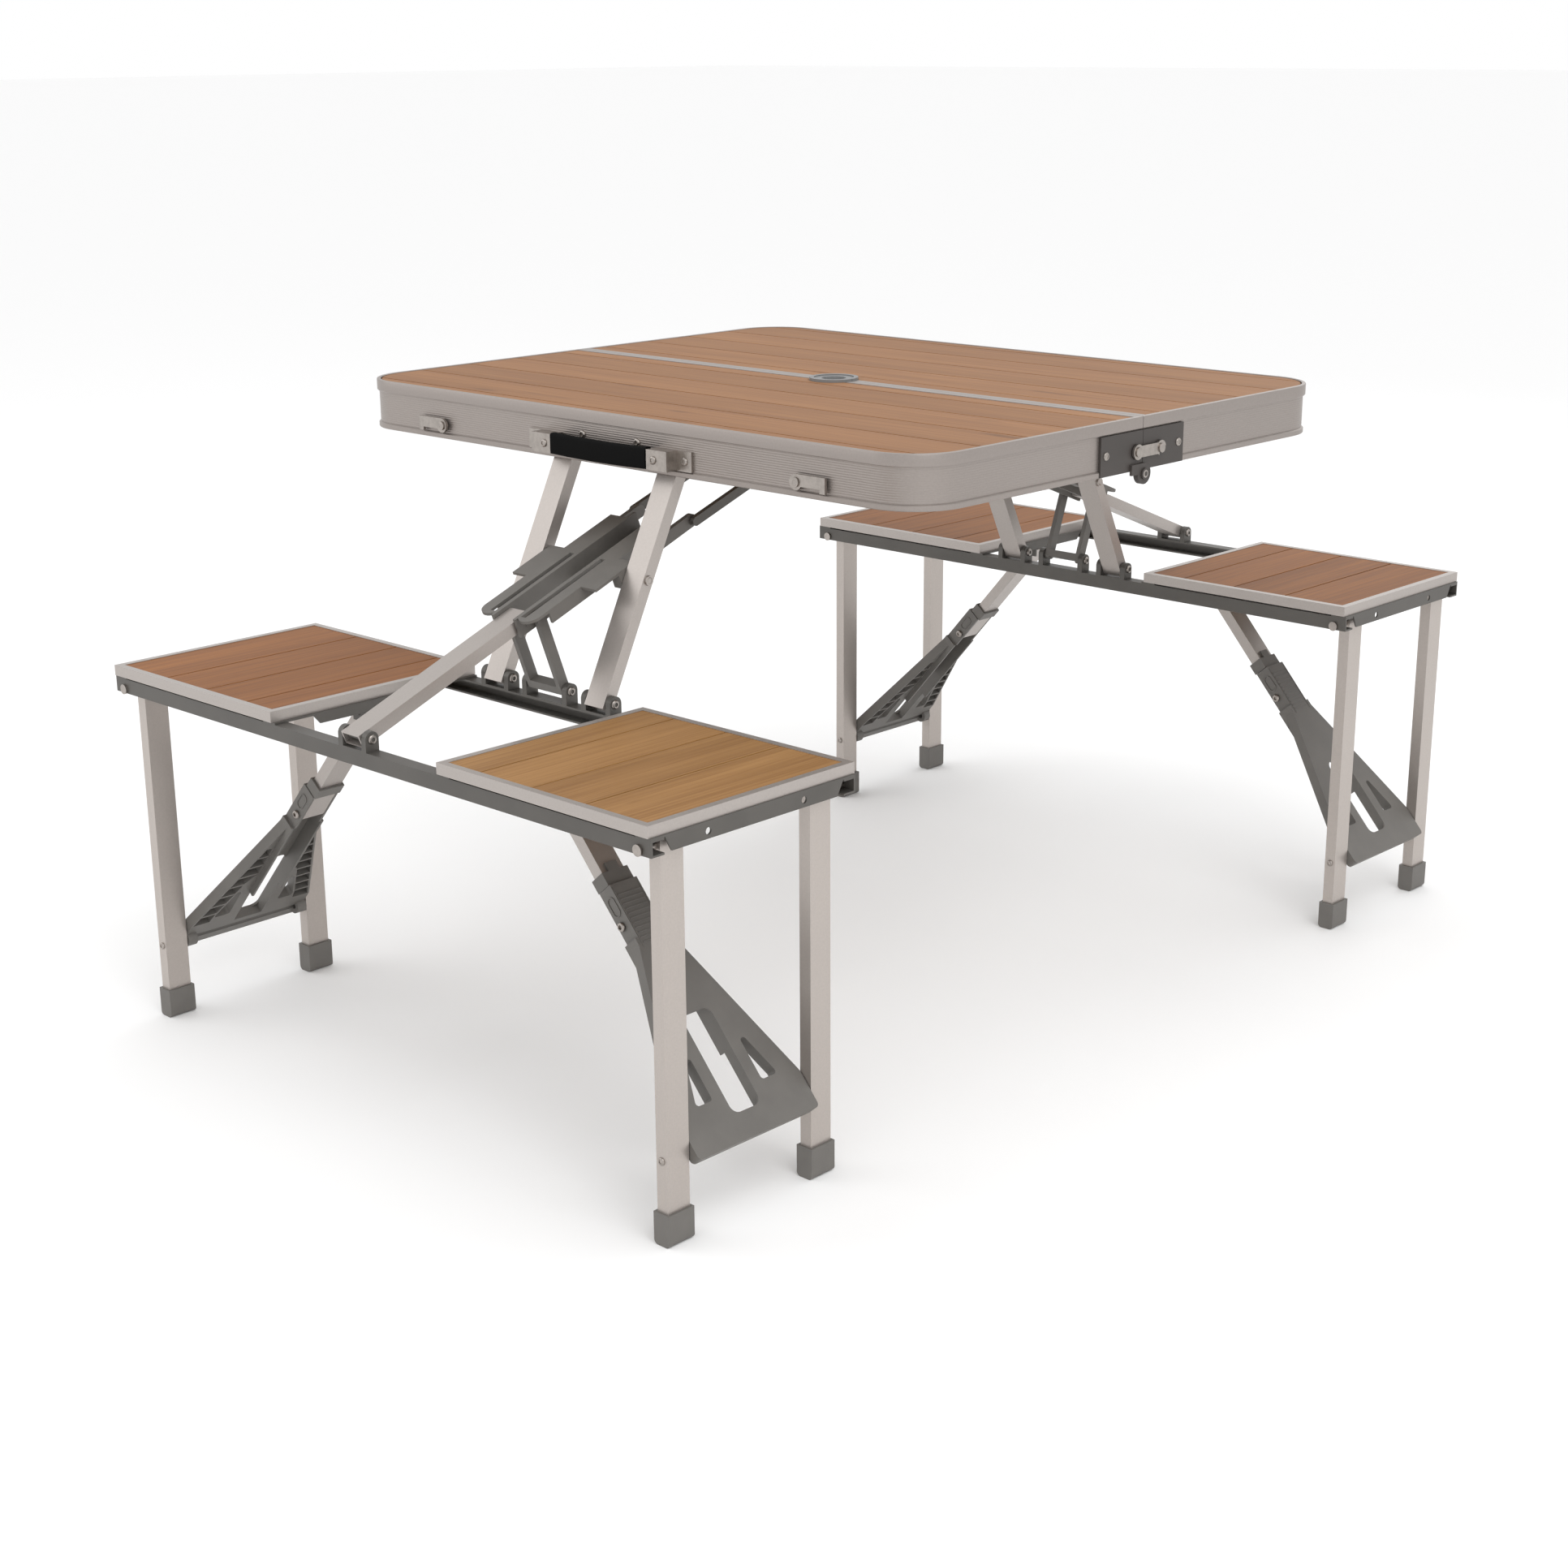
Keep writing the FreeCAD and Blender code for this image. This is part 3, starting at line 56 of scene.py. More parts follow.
class Nodes:
    """A short way to write a material's node tree."""

    def __init__(self, name):
        self.material = bpy.data.materials.new(name)
        self.material.use_nodes = True
        self.tree = self.material.node_tree
        self.shader = self.tree.nodes["Principled BSDF"]

    def add(self, kind, inputs=None, **settings):
        node = self.tree.nodes.new("ShaderNode" + kind)
        for key, value in settings.items():
            setattr(node, key, value)
        for key, value in (inputs or {}).items():
            if isinstance(value, bpy.types.NodeSocket):
                self.tree.links.new(value, node.inputs[key])
            else:
                node.inputs[key].default_value = value
        return node

    def link(self, socket, name):
        self.tree.links.new(socket, self.shader.inputs[name])

    def place(self, scale=(1, 1, 1)):
        """The piece's own coordinates in metres, stretched."""
        where = self.add("TexCoord").outputs["Object"]
        return self.add("Mapping", {"Vector": where, "Scale": scale}).outputs["Vector"]

    def noise(self, where, size, detail=3.0, rough=0.5):
        inputs = {"Vector": where, "Scale": size, "Detail": detail, "Roughness": rough}
        return self.add("TexNoise", inputs).outputs["Fac"]

    def ramp(self, fac, *stops):
        node = self.add("ValToRGB", {"Fac": fac})
        for k, (at, colour) in enumerate(stops):
            if k < 2:
                stop = node.color_ramp.elements[k]
                stop.position = at
            else:
                stop = node.color_ramp.elements.new(at)
            stop.color = (*colour, 1)
        return node.outputs["Color"]

    def mix(self, fac, a, b, how="MIX"):
        node = self.add("Mix", data_type="RGBA", blend_type=how)
        for key, value in (("Factor", fac), ("A", a), ("B", b)):
            socket = [s for s in node.inputs if s.name == key and s.enabled][0]
            if isinstance(value, bpy.types.NodeSocket):
                self.tree.links.new(value, socket)
            elif isinstance(value, tuple):
                socket.default_value = (*value, 1)
            else:
                socket.default_value = value
        return [s for s in node.outputs if s.enabled][0]

    def bump(self, height, strength, distance):
        inputs = {"Height": height, "Strength": strength, "Distance": distance}
        self.link(self.add("Bump", inputs).outputs["Normal"], "Normal")


def srgb(r, g, b):
    """A linear colour from 0-255 display values."""
    return tuple(((c / 255 + 0.055) / 1.055) ** 2.4 if c > 10 else c / 3294.6 for c in (r, g, b))


def wood(name, along, light, dark, groove, pitch, offset, knots):
    """Bamboo board: fine streaks and cloudy bands along the boards, each board a little different."""
    m = Nodes(name)
    fine = (3.0, 190.0, 40.0) if along == "x" else (190.0, 3.0, 40.0)
    broad = (1.1, 16.0, 6.0) if along == "x" else (16.0, 1.1, 6.0)
    streaks = m.noise(m.place(fine), 1.6, 6.0, 0.62)
    bands = m.noise(m.place(broad), 1.4, 5.0, 0.6)
    split = m.add("SeparateXYZ", {"Vector": m.place()})
    across = split.outputs["Y" if along == "x" else "X"]
    distance = m.add("Math", {0: across}, operation="ABSOLUTE").outputs[0]
    shifted = m.add("Math", {0: distance, 1: offset}, operation="SUBTRACT").outputs[0]
    counted = m.add("Math", {0: shifted, 1: pitch}, operation="DIVIDE").outputs[0]
    whole = m.add("Math", {0: counted}, operation="FLOOR").outputs[0]
    side = m.add("Math", {0: across}, operation="SIGN").outputs[0]
    board = m.add("Math", {0: side, 1: 17.0, 2: whole}, operation="MULTIPLY_ADD").outputs[0]
    tone = m.add("TexWhiteNoise", {"W": board}, noise_dimensions="1D").outputs["Value"]
    base = m.ramp(streaks, (0.28, dark), (0.72, light))
    cloudy = m.ramp(bands, (0.3, (0.74, 0.70, 0.66)), (0.68, (1.0, 1.0, 1.0)))
    tinted = m.mix(0.75, base, cloudy, "MULTIPLY")
    shade = m.ramp(tone, (0.0, (0.84, 0.83, 0.82)), (1.0, (1.0, 1.0, 1.0)))
    boards = m.mix(0.8, tinted, shade, "MULTIPLY")
    spots = m.noise(m.place((7.0, 34.0, 5.0) if along == "x" else (34.0, 7.0, 5.0)), 1.0, 2.0, 0.5)
    mask = m.ramp(spots, (0.69, (0, 0, 0)), (0.78, (1, 1, 1)))
    faint = m.mix(knots, (0.0, 0.0, 0.0), mask)
    m.link(m.mix(faint, boards, groove), "Base Color")
    rough = m.add("MapRange", {"Value": streaks, "To Min": 0.5, "To Max": 0.64})
    m.link(rough.outputs["Result"], "Roughness")
    m.shader.inputs["Specular IOR Level"].default_value = 0.22
    m.bump(streaks, 0.16, 0.0004)
    return m.material


def aluminium(name, colour, metallic=0.7, rough=0.36):
    """Matt aluminium: a fine even grain, with a faint cloudiness in its gloss."""
    m = Nodes(name)
    grain = m.noise(m.place((160.0, 160.0, 160.0)), 3.0, 4.0, 0.6)
    cloud = m.noise(m.place((9.0, 9.0, 9.0)), 1.0, 3.0, 0.5)
    dim = tuple(0.93 * c for c in colour)
    m.link(m.ramp(grain, (0.3, dim), (0.7, colour)), "Base Color")
    gloss = m.add("MapRange", {"Value": cloud, "To Min": rough - 0.05, "To Max": rough + 0.09})
    m.link(gloss.outputs["Result"], "Roughness")
    m.shader.inputs["Metallic"].default_value = metallic
    m.bump(grain, 0.10, 0.00012)
    return m.material


def coated(name, colour, rough=0.42, metallic=0.35):
    """Powder-coated steel: an even coat with a fine orange-peel grain."""
    m = Nodes(name)
    peel = m.noise(m.place(), 900.0, 2.0, 0.5)
    cloud = m.noise(m.place(), 22.0, 3.0, 0.5)
    dim = tuple(0.88 * c for c in colour)
    m.link(m.ramp(cloud, (0.35, dim), (0.65, colour)), "Base Color")
    gloss = m.add("MapRange", {"Value": cloud, "To Min": rough - 0.04, "To Max": rough + 0.06})
    m.link(gloss.outputs["Result"], "Roughness")
    m.shader.inputs["Metallic"].default_value = metallic
    m.bump(peel, 0.12, 0.00015)
    return m.material


def moulded(name, colour, rough=0.5, shine=0.45):
    """Moulded plastic with a fine spark-eroded texture."""
    m = Nodes(name)
    grit = m.noise(m.place(), 1500.0, 2.0, 0.6)
    cloud = m.noise(m.place(), 30.0, 4.0, 0.55)
    pale = tuple(1.14 * c for c in colour)
    m.link(m.ramp(cloud, (0.35, colour), (0.7, pale)), "Base Color")
    gloss = m.add("MapRange", {"Value": cloud, "To Min": rough - 0.05, "To Max": rough + 0.08})
    m.link(gloss.outputs["Result"], "Roughness")
    m.shader.inputs["Specular IOR Level"].default_value = shine
    m.bump(grit, 0.2, 0.00012)
    return m.material


def plated(name, colour, rough):
    """Nickel plate with faint handling marks."""
    m = Nodes(name)
    marks = m.noise(m.place(), 140.0, 5.0, 0.7)
    dim = tuple(0.8 * c for c in colour)
    m.link(m.ramp(marks, (0.35, dim), (0.6, colour)), "Base Color")
    gloss = m.add("MapRange", {"Value": marks, "To Min": rough - 0.06, "To Max": rough + 0.12})
    m.link(gloss.outputs["Result"], "Roughness")
    m.shader.inputs["Metallic"].default_value = 1.0
    m.bump(marks, 0.04, 0.0001)
    return m.material


# metres, as the materials' own coordinates are
BOARD_PITCH = 0.073
FIRST_GROOVE = 0.037
FIRST_SEAT_GAP = 0.041
TABLE_WOOD = wood("TableBamboo", "x", srgb(168, 122, 80), srgb(137, 92, 54), srgb(82, 53, 31),
                  BOARD_PITCH, FIRST_GROOVE, 0.45)
# paler copy of the bench bamboo for the seat nearest the key light and camera: painted light
LIT_SEAT_WOOD = wood("BenchBambooLit", "y", srgb(177, 135, 86), srgb(143, 102, 58), srgb(88, 60, 32),
                 BOARD_PITCH, FIRST_SEAT_GAP, 0.6)
SEAT_WOOD = wood("BenchBamboo", "y", srgb(160, 107, 62), srgb(126, 79, 42), srgb(73, 45, 24),
                 BOARD_PITCH, FIRST_SEAT_GAP, 0.4)
RIM_ALUMINIUM = aluminium("AluminiumRim", srgb(156, 148, 143), 0.75, 0.4)
SEAT_ALUMINIUM = aluminium("AluminiumBenchEdge", srgb(176, 169, 164))
LEG_ALUMINIUM = aluminium("AluminiumLeg", srgb(185, 177, 171))
STRUT_ALUMINIUM = aluminium("AluminiumStrut", srgb(178, 171, 166))
STEEL = coated("DarkSteel", srgb(90, 87, 83))
PLASTIC = moulded("GreyPlastic", srgb(102, 99, 95))
END_PLATE = coated("EndPlate", srgb(68, 63, 60), 0.5, 0.2)
RING = moulded("RingPlastic", srgb(120, 120, 120), 0.45)
GRIP = moulded("BlackGrip", srgb(8, 8, 8), 0.7, shine=0.08)
NICKEL = plated("Nickel", srgb(170, 163, 157), 0.3)
# near-black sheet under the gaps between boards and planks: painted shade in the grooves
GROOVE_SHADE = moulded("PaintedGrooveShade", srgb(30, 29, 28), 0.8)
HARDBOARD = moulded("Hardboard", srgb(126, 104, 84), 0.75)

# ---------------------------------------------------------------- mesh helpers


def half_turn(points, front):
    """The front half is the rear half turned half a turn about Z."""
    return [(-x, -y, z) if front else (x, y, z) for x, y, z in points]


def piece(name, verts, faces, material, body, smooth=True):
    mesh = bpy.data.meshes.new(name)
    mesh.from_pydata([tuple(c * MM for c in v) for v in verts], [], faces)
    mesh.validate()
    work = bmesh.new()
    work.from_mesh(mesh)
    bmesh.ops.recalc_face_normals(work, faces=work.faces)
    work.to_mesh(mesh)
    work.free()
    mesh.materials.append(material)
    obj = bpy.data.objects.new(name, mesh)
    bpy.context.scene.collection.objects.link(obj)
    if smooth:
        mesh.polygons.foreach_set("use_smooth", [True] * len(mesh.polygons))
    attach(obj, body)
    return obj


def bevel(obj, width, segments=2, angle=32):
    """Round the hard edges and keep the flats flat."""
    mod = obj.modifiers.new("Edges", "BEVEL")
    mod.width = width * MM
    mod.segments = segments
    mod.limit_method = "ANGLE"
    mod.angle_limit = math.radians(angle)
    mod.harden_normals = True
    mod.use_clamp_overlap = True


def prism(outline, low, high):
    """Vertices and faces of a flat outline pushed from one height to another."""
    n = len(outline)
    verts = [(x, y, low) for x, y in outline] + [(x, y, high) for x, y in outline]
    faces = [tuple(range(n))[::-1], tuple(range(n, 2 * n))]
    faces += [(k, (k + 1) % n, n + (k + 1) % n, n + k) for k in range(n)]
    return verts, faces


def join(*solids):
    """Several solids as one list of vertices and faces."""
    verts, faces = [], []
    for v, f in solids:
        start = len(verts)
        verts += v
        faces += [tuple(k + start for k in face) for face in f]
    return verts, faces


def block(x, y, z):
    return prism([(x[0], y[0]), (x[1], y[0]), (x[1], y[1]), (x[0], y[1])], *z)


def swept(rings, closed):
    """A skin over rings that have the same number of points, with ends capped unless closed."""
    n = len(rings[0])
    verts = [p for ring in rings for p in ring]
    faces = []
    last = len(rings) if closed else len(rings) - 1
    for i in range(last):
        a, b = i * n, ((i + 1) % len(rings)) * n
        faces += [(a + k, a + (k + 1) % n, b + (k + 1) % n, b + k) for k in range(n)]
    if not closed:
        faces += [tuple(range(n))[::-1], tuple(range(len(verts) - n, len(verts)))]
    return verts, faces


def moved(solid, matrix):
    """A solid in millimetres taken to another place."""
    verts, faces = solid
    return [tuple(matrix @ Vector(v)) for v in verts], faces


# ---------------------------------------------------------------- sizes from the frame

rim_low, rim_high = (Vector(c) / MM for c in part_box("rear_rim"))
HALF_LENGTH = rim_high.x
HALF_WIDTH = rim_high.y
TOP = rim_high.z
RIM_BOTTOM = rim_low.z
panel_low, panel_high = (Vector(c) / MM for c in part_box("rear_top_panel"))
PANEL_INSET = HALF_LENGTH - panel_high.x
SEAM_STRIP = panel_low.y
RING_RADIUS = (Vector(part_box("rear_parasol_ring")[1]) / MM).x
SEAM = rim_low.y
CORNER = 60.0
BAND = 13.0
PROUD = 2.5
WALL = 2.0
BEAD = 6.0
RIBS = 15
RIB_DEPTH = 0.18
LEDGE_WIDTH = 8.0
LEDGE_TOP = TOP - 6.6
LEDGE_LOW = TOP - 8.6
ARC_STEPS = 16
GROOVE = 2.0
# height of the top of the painted shade sheet under the boards and planks
EDGE_GAP = 1.1
SHADE_SHEET_TOP = 1.0
UNDER_SKIN = 0.5
FIT = 0.3
PLATE_REACH = Vector(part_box("rear_hinge_plates")[1]).y / MM


# ---------------------------------------------------------------- case


def rim_path():
    """Places along a half rim, seam to seam: a centre, a direction out and whether it is plated."""
    straight = HALF_WIDTH - CORNER
    inner = HALF_LENGTH - CORNER
    clear = PLATE_REACH + 0.2
    path = [((inner, SEAM), 0, True), ((inner, clear), 0, True), ((inner, clear + 0.1), 0, False)]
    for side in (0, 1):
        centre = (inner if side == 0 else -inner, straight)
        for k in range(ARC_STEPS + 1):
            path.append((centre, math.pi / 2 * (side + k / ARC_STEPS), False))
    path += [((-inner, clear + 0.1), math.pi, False), ((-inner, clear), math.pi, True),
             ((-inner, SEAM), math.pi, True)]
    return path


def rim_profile(plated):
    """The rim's section as inset and height: bead, grooved wall, band, lip and inner ledge."""
    bead_out = PROUD if plated else PROUD / 5
    wall = PROUD
    points = [(PROUD + WALL, RIM_BOTTOM), (bead_out + 0.5, RIM_BOTTOM), (bead_out, RIM_BOTTOM + 0.7),
              (bead_out, RIM_BOTTOM + BEAD - 1.2), (min(bead_out + 1.0, wall), RIM_BOTTOM + BEAD - 0.1)]
    low = RIM_BOTTOM + BEAD
    pitch = (TOP - BAND - low) / RIBS
    for k in range(RIBS):
        start = low + k * pitch
        points += [(wall + RIB_DEPTH, start + 0.15 * pitch), (wall + RIB_DEPTH, start + 0.35 * pitch),
                   (wall, start + 0.5 * pitch), (wall, start + 0.95 * pitch)]
    points += [(wall, TOP - BAND), (0.5, TOP - BAND + 0.2), (0, TOP - BAND + 0.9), (0, TOP - 1.2),
               (0.35, TOP - 0.35), (1.2, TOP), (PROUD + WALL - 0.5, TOP), (PROUD + WALL, TOP - 0.5),
               (PROUD + WALL, LEDGE_TOP), (PROUD + WALL + LEDGE_WIDTH, LEDGE_TOP),
               (PROUD + WALL + LEDGE_WIDTH, LEDGE_LOW), (PROUD + WALL, LEDGE_LOW)]
    return points


def rims():
    """Each half's rim skin, and the flat strip and wall along its seam."""
    for half in HALVES:
        front = half == "front"
        rings = []
        for (cx, cy), angle, covered in rim_path():
            ring = []
            for inset, z in rim_profile(covered):
                reach = CORNER - inset
                ring.append((cx + reach * math.cos(angle), cy + reach * math.sin(angle), z))
            rings.append(half_turn(ring, front))
        verts, faces = swept(rings, False)
        outer = piece(f"{half}_ribbed_rim", verts, faces, RIM_ALUMINIUM, f"{half}_table")
        outer.data.set_sharp_from_angle(angle=math.radians(28))
        strips = []
        inner = HALF_LENGTH - PROUD - WALL
        for side in (-1, 1):
            xs = sorted((side * (RING_RADIUS + 0.2), side * inner))
            strips.append(block(xs, (SEAM, SEAM_STRIP - FIT), (LEDGE_LOW, TOP)))
            xs = sorted((side * (RING_RADIUS / 2 + 1), side * inner))
            strips.append(block(xs, (SEAM, SEAM + WALL), (RIM_BOTTOM, LEDGE_LOW)))
        verts, faces = join(*strips)
        seam = piece(f"{half}_seam_strip", half_turn(verts, front), faces, RIM_ALUMINIUM,
                     f"{half}_table")
        bevel(seam, 0.6)
        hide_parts(f"{half}_rim")
        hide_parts(f"{half}_rim")


def board_outline(low, high, gap_round=0.0):
    """One board's outline: square inside, following the rounded corners, round the parasol ring."""
    reach = HALF_LENGTH - PANEL_INSET - gap_round
    radius = CORNER - PANEL_INSET - gap_round
    centre = (HALF_LENGTH - CORNER, HALF_WIDTH - CORNER)

    def edge(y):
        if y <= centre[1]:
            return reach
        return centre[0] + math.sqrt(max(radius ** 2 - (y - centre[1]) ** 2, 0))

    steps = 1 if high <= centre[1] else 14
    rise = [low + (high - low) * math.sin(math.pi / 2 * k / steps) for k in range(steps + 1)]
    right = [(edge(y), y) for y in rise]
    left = [(-x, y) for x, y in reversed(right)]
    outline = right + left
    gap = RING_RADIUS + FIT
    if low < gap:
        start = math.asin(low / gap)
        sweep = [math.pi - start - (math.pi - 2 * start) * k / 18 for k in range(19)]
        outline += [(gap * math.cos(a), gap * math.sin(a)) for a in sweep]
    return outline


def table_boards():
    """Each half's boards with dark grooves between them: a near-black sheet of painted shade lies under the
    boards and shows in the grooves, over a plain underside.
    """
    far = panel_high.y
    cuts = [SEAM_STRIP]
    groove = FIRST_GROOVE / MM
    while groove < far:
        cuts.append(groove)
        groove += BOARD_PITCH / MM
    cuts.append(far)
    for half in HALVES:
        boards = []
        for low, high in zip(cuts, cuts[1:]):
            inner = low + (EDGE_GAP if low == SEAM_STRIP else GROOVE / 2)
            outer = high - (EDGE_GAP if high == far else GROOVE / 2)
            boards.append(prism(board_outline(inner, outer, EDGE_GAP), panel_low.z + SHADE_SHEET_TOP, panel_high.z))
        verts, faces = join(*boards)
        obj = piece(f"{half}_boards", half_turn(verts, half == "front"), faces, TABLE_WOOD,
                    f"{half}_table", smooth=False)
        bevel(obj, 0.35)
        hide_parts(f"{half}_top_panel")
        # the near-black layer under the boards is painted shade that shows through the grooves
        for name, start, end, material in (("painted_shade", UNDER_SKIN, SHADE_SHEET_TOP, GROOVE_SHADE),
                                           ("underside", 0, UNDER_SKIN, HARDBOARD)):
            verts, faces = prism(board_outline(SEAM_STRIP, far), panel_low.z + start, panel_low.z + end)
            under = piece(f"{half}_board_{name}", half_turn(verts, half == "front"), faces, material,
                          f"{half}_table", smooth=False)
            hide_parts(f"{half}_top_panel")


# ---------------------------------------------------------------- screws and rivets


def turned_head(radius, height, socket):
    """A domed head along +Z with a six-sided socket, standing on z = 0."""
    steps = 24
    rings = []
    depth = height * 0.75
    for r, z, six in ((socket, height - depth, True), (socket, height * 0.98, True),
                      (socket + 0.25, height, False), (radius * 0.72, height * 0.97, False),
                      (radius * 0.93, height * 0.7, False), (radius, height * 0.35, False),
                      (radius, 0, False)):
        ring = []
        for k in range(steps):
            a = 2 * math.pi * k / steps
            reach = r / math.cos((a + math.pi / 6) % (math.pi / 3) - math.pi / 6) if six else r
            ring.append((reach * math.cos(a), reach * math.sin(a), z))
        rings.append(ring)
    return swept(rings, False)


def aim(place, direction):
    """A matrix that stands +Z along a direction, at a place."""
    turn = Vector(direction).to_track_quat("Z", "Y").to_matrix().to_4x4()
    return Matrix.Translation(Vector(place)) @ turn


def heads(name, places, body, radius, height):
    """Screw heads at (place, direction) pairs, as one piece."""
    solids = [moved(turned_head(radius, height, radius * 0.45), aim(p, d)) for p, d in places]
    verts, faces = join(*solids)
    obj = piece(name, verts, faces, NICKEL, body)
    obj.data.set_sharp_from_angle(angle=math.radians(40))
    return obj


# ---------------------------------------------------------------- places from the frame

JOINTS = {j["name"]: j for j in frame["joints"]}


def pivot(joint):
    """A joint's place in millimetres."""
    return Vector(JOINTS[joint]["pos_m"]) / MM


def edges(node):
    """A node's lowest and highest corners in millimetres."""
    return tuple(Vector(c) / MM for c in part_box(node))


def pair(node_low, node_high, y, z):
    """Heads at both ends of a crosswise pin."""
    return [((node_low, y, z), (-1, 0, 0)), ((node_high, y, z), (1, 0, 0))]


# ---------------------------------------------------------------- seats

SEAT_WIDTH = 289.0
SEAT_LIP = 8.0
SEAT_CUTS = (81.0, 154.0, 227.0)
PLANK_GAP = 0.9


def seat_boards():
    """Four planks in each seat over a near-black sheet of painted shade that shows in the gaps, with a
    plain board below.
    """
    low, high = edges("rear_seat_planks")
    for half in HALVES:
        front = half == "front"
        for end in ENDS:
            right = end == "right"
            outer = high.x
            inner = edges("rear_seat_frames")[1].x - SEAT_WIDTH + SEAT_LIP
            cuts = [outer] + [outer - c for c in SEAT_CUTS] + [inner]
            planks = []
            for a, b in zip(cuts, cuts[1:]):
                wide = (b + (PLANK_GAP if b != inner else 0), a - (PLANK_GAP if a != outer else 0))
                planks.append(block(wide, (low.y, high.y), (low.z + SHADE_SHEET_TOP, high.z)))
            # near-black sheet under the planks: painted shade that shows in the gaps
            painted_shade = block((inner, outer), (low.y, high.y), (low.z + UNDER_SKIN, low.z + SHADE_SHEET_TOP))
            underside = block((inner, outer), (low.y, high.y), (low.z, low.z + UNDER_SKIN))
            sign = (1 if right else -1) * (-1 if front else 1)
            for name, solid, material in (("planks", join(*planks), None), ("painted_shade", painted_shade, GROOVE_SHADE),
                                          ("underside", underside, HARDBOARD)):
                verts = [(sign * x, y, z) for x, y, z in solid[0]]
                # the front right seat takes the paler copy of the bench bamboo: painted light where it is
                # most lit
                near = front and right
                skin = material or (LIT_SEAT_WOOD if near else SEAT_WOOD)
                obj = piece(f"{half}_{end}_seat_{name}", half_turn(verts, front), solid[1], skin,
                            f"{half}_bench", smooth=False)
                if name == "planks":
                    bevel(obj, 0.4)
                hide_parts(f"{half}_seat_planks")


# ---------------------------------------------------------------- handle


GRIP_STEPS = 32
GRIP_SAG = 1.4


def grip():
    """A grip of rounded flat section along the bar, sagging a little in the middle."""
    low, high = edges("handle_grip")
    rings = []
    middle = (low + high) / 2
    deep = (high.y - low.y) / 2
    tall = (high.z - low.z) / 2
    for k in range(GRIP_STEPS + 1):
        t = -1 + 2 * k / GRIP_STEPS
        ring = []
        for q in range(GRIP_STEPS):
            a = 2 * math.pi * q / GRIP_STEPS
            c, n = math.cos(a), math.sin(a)
            y = math.copysign(abs(c) ** 0.45, c) * deep
            z = math.copysign(abs(n) ** 0.3, n) * (tall - GRIP_SAG / 2)
            ring.append((t * high.x, middle.y + y, middle.z + GRIP_SAG * (t * t - 0.5) + z))
        rings.append(ring)
    verts, faces = swept(rings, False)
    obj = piece("bowed_grip", verts, faces, GRIP, "front_table")
    obj.data.set_sharp_from_angle(angle=math.radians(45))
    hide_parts("handle_grip")


FOOT_RIVET_IN = 10.0
BOX_RIVET_IN = 41.0
GRIP_SCREW_X = 42.0
GRIP_SCREW_UP = 11.5


def handle_screws():
    """Rivets on the handle's boxes and feet, and two screws in the rim behind the grip."""
    low, high = edges("handle_brackets")
    middle = (low.z + high.z) / 2
    rim_face = -(HALF_WIDTH - PROUD)
    places = []
    for side in (-1, 1):
        places.append(((side * (high.x - FOOT_RIVET_IN), rim_face - 3, middle), (0, -1, 0)))
        places.append(((side * (high.x - BOX_RIVET_IN), low.y + 1.2, middle), (0, -1, 0)))
        places.append(((side * GRIP_SCREW_X, rim_face, middle + GRIP_SCREW_UP), (0, -1, 0)))
    heads("handle_rivets", places, "front_table", 4.4, 2.0)


# ---------------------------------------------------------------- screws on the case, benches and legs


PLATE_THICK = 3.0
PLATE_SCREW_UP = 21.0
HOOK_UP = 19.5
HOOK_PIN_Y = -12.0
CATCH_Y = 28.0
HINGE_PIN_OUT = 6.2


def case_screws():
    """Heads on the end plates' screws, the hooks' and latches' pivots and the centre hinge."""
    for half in HALVES:
        sign = -1 if half == "front" else 1
        face = HALF_LENGTH - PROUD + PLATE_THICK
        plate_y = PLATE_REACH - 9
        places = []
        for end in (-1, 1):
            places.append(((end * face, sign * plate_y, RIM_BOTTOM + PLATE_SCREW_UP), (end, 0, 0)))
            low, high = edges(f"{'right' if end > 0 else 'left'}_end_hook")
            pin_y = HOOK_PIN_Y if sign < 0 else CATCH_Y
            base = high.x if end > 0 else low.x
            places.append(((base, pin_y, RIM_BOTTOM + HOOK_UP), (end, 0, 0)))
        heads(f"{half}_plate_screws", places, f"{half}_table", 4.3, 1.6)
    for end in ENDS:
        centre = pivot(f"{end}_case_latch_turn")
        face = edges(f"{end}_case_latch")[0].y
        heads(f"{end}_latch_screw", [((centre.x, face, centre.z), (0, -1, 0))], f"{end}_case_latch",
              4.6, 1.7)
    pin = pivot("centre_fold")
    reach = HALF_LENGTH - PROUD + HINGE_PIN_OUT
    places = [((end * reach, 0, pin.z), (end, 0, 0)) for end in (-1, 1)]
    heads("hinge_pins", places, "rear_table", 5.2, 2.0)


MAIN_X = 80.0
FORK_OUT = 22.2
LINK_FORK_OUT = 35.2
SLIDE_PIN_OUT = 94.0


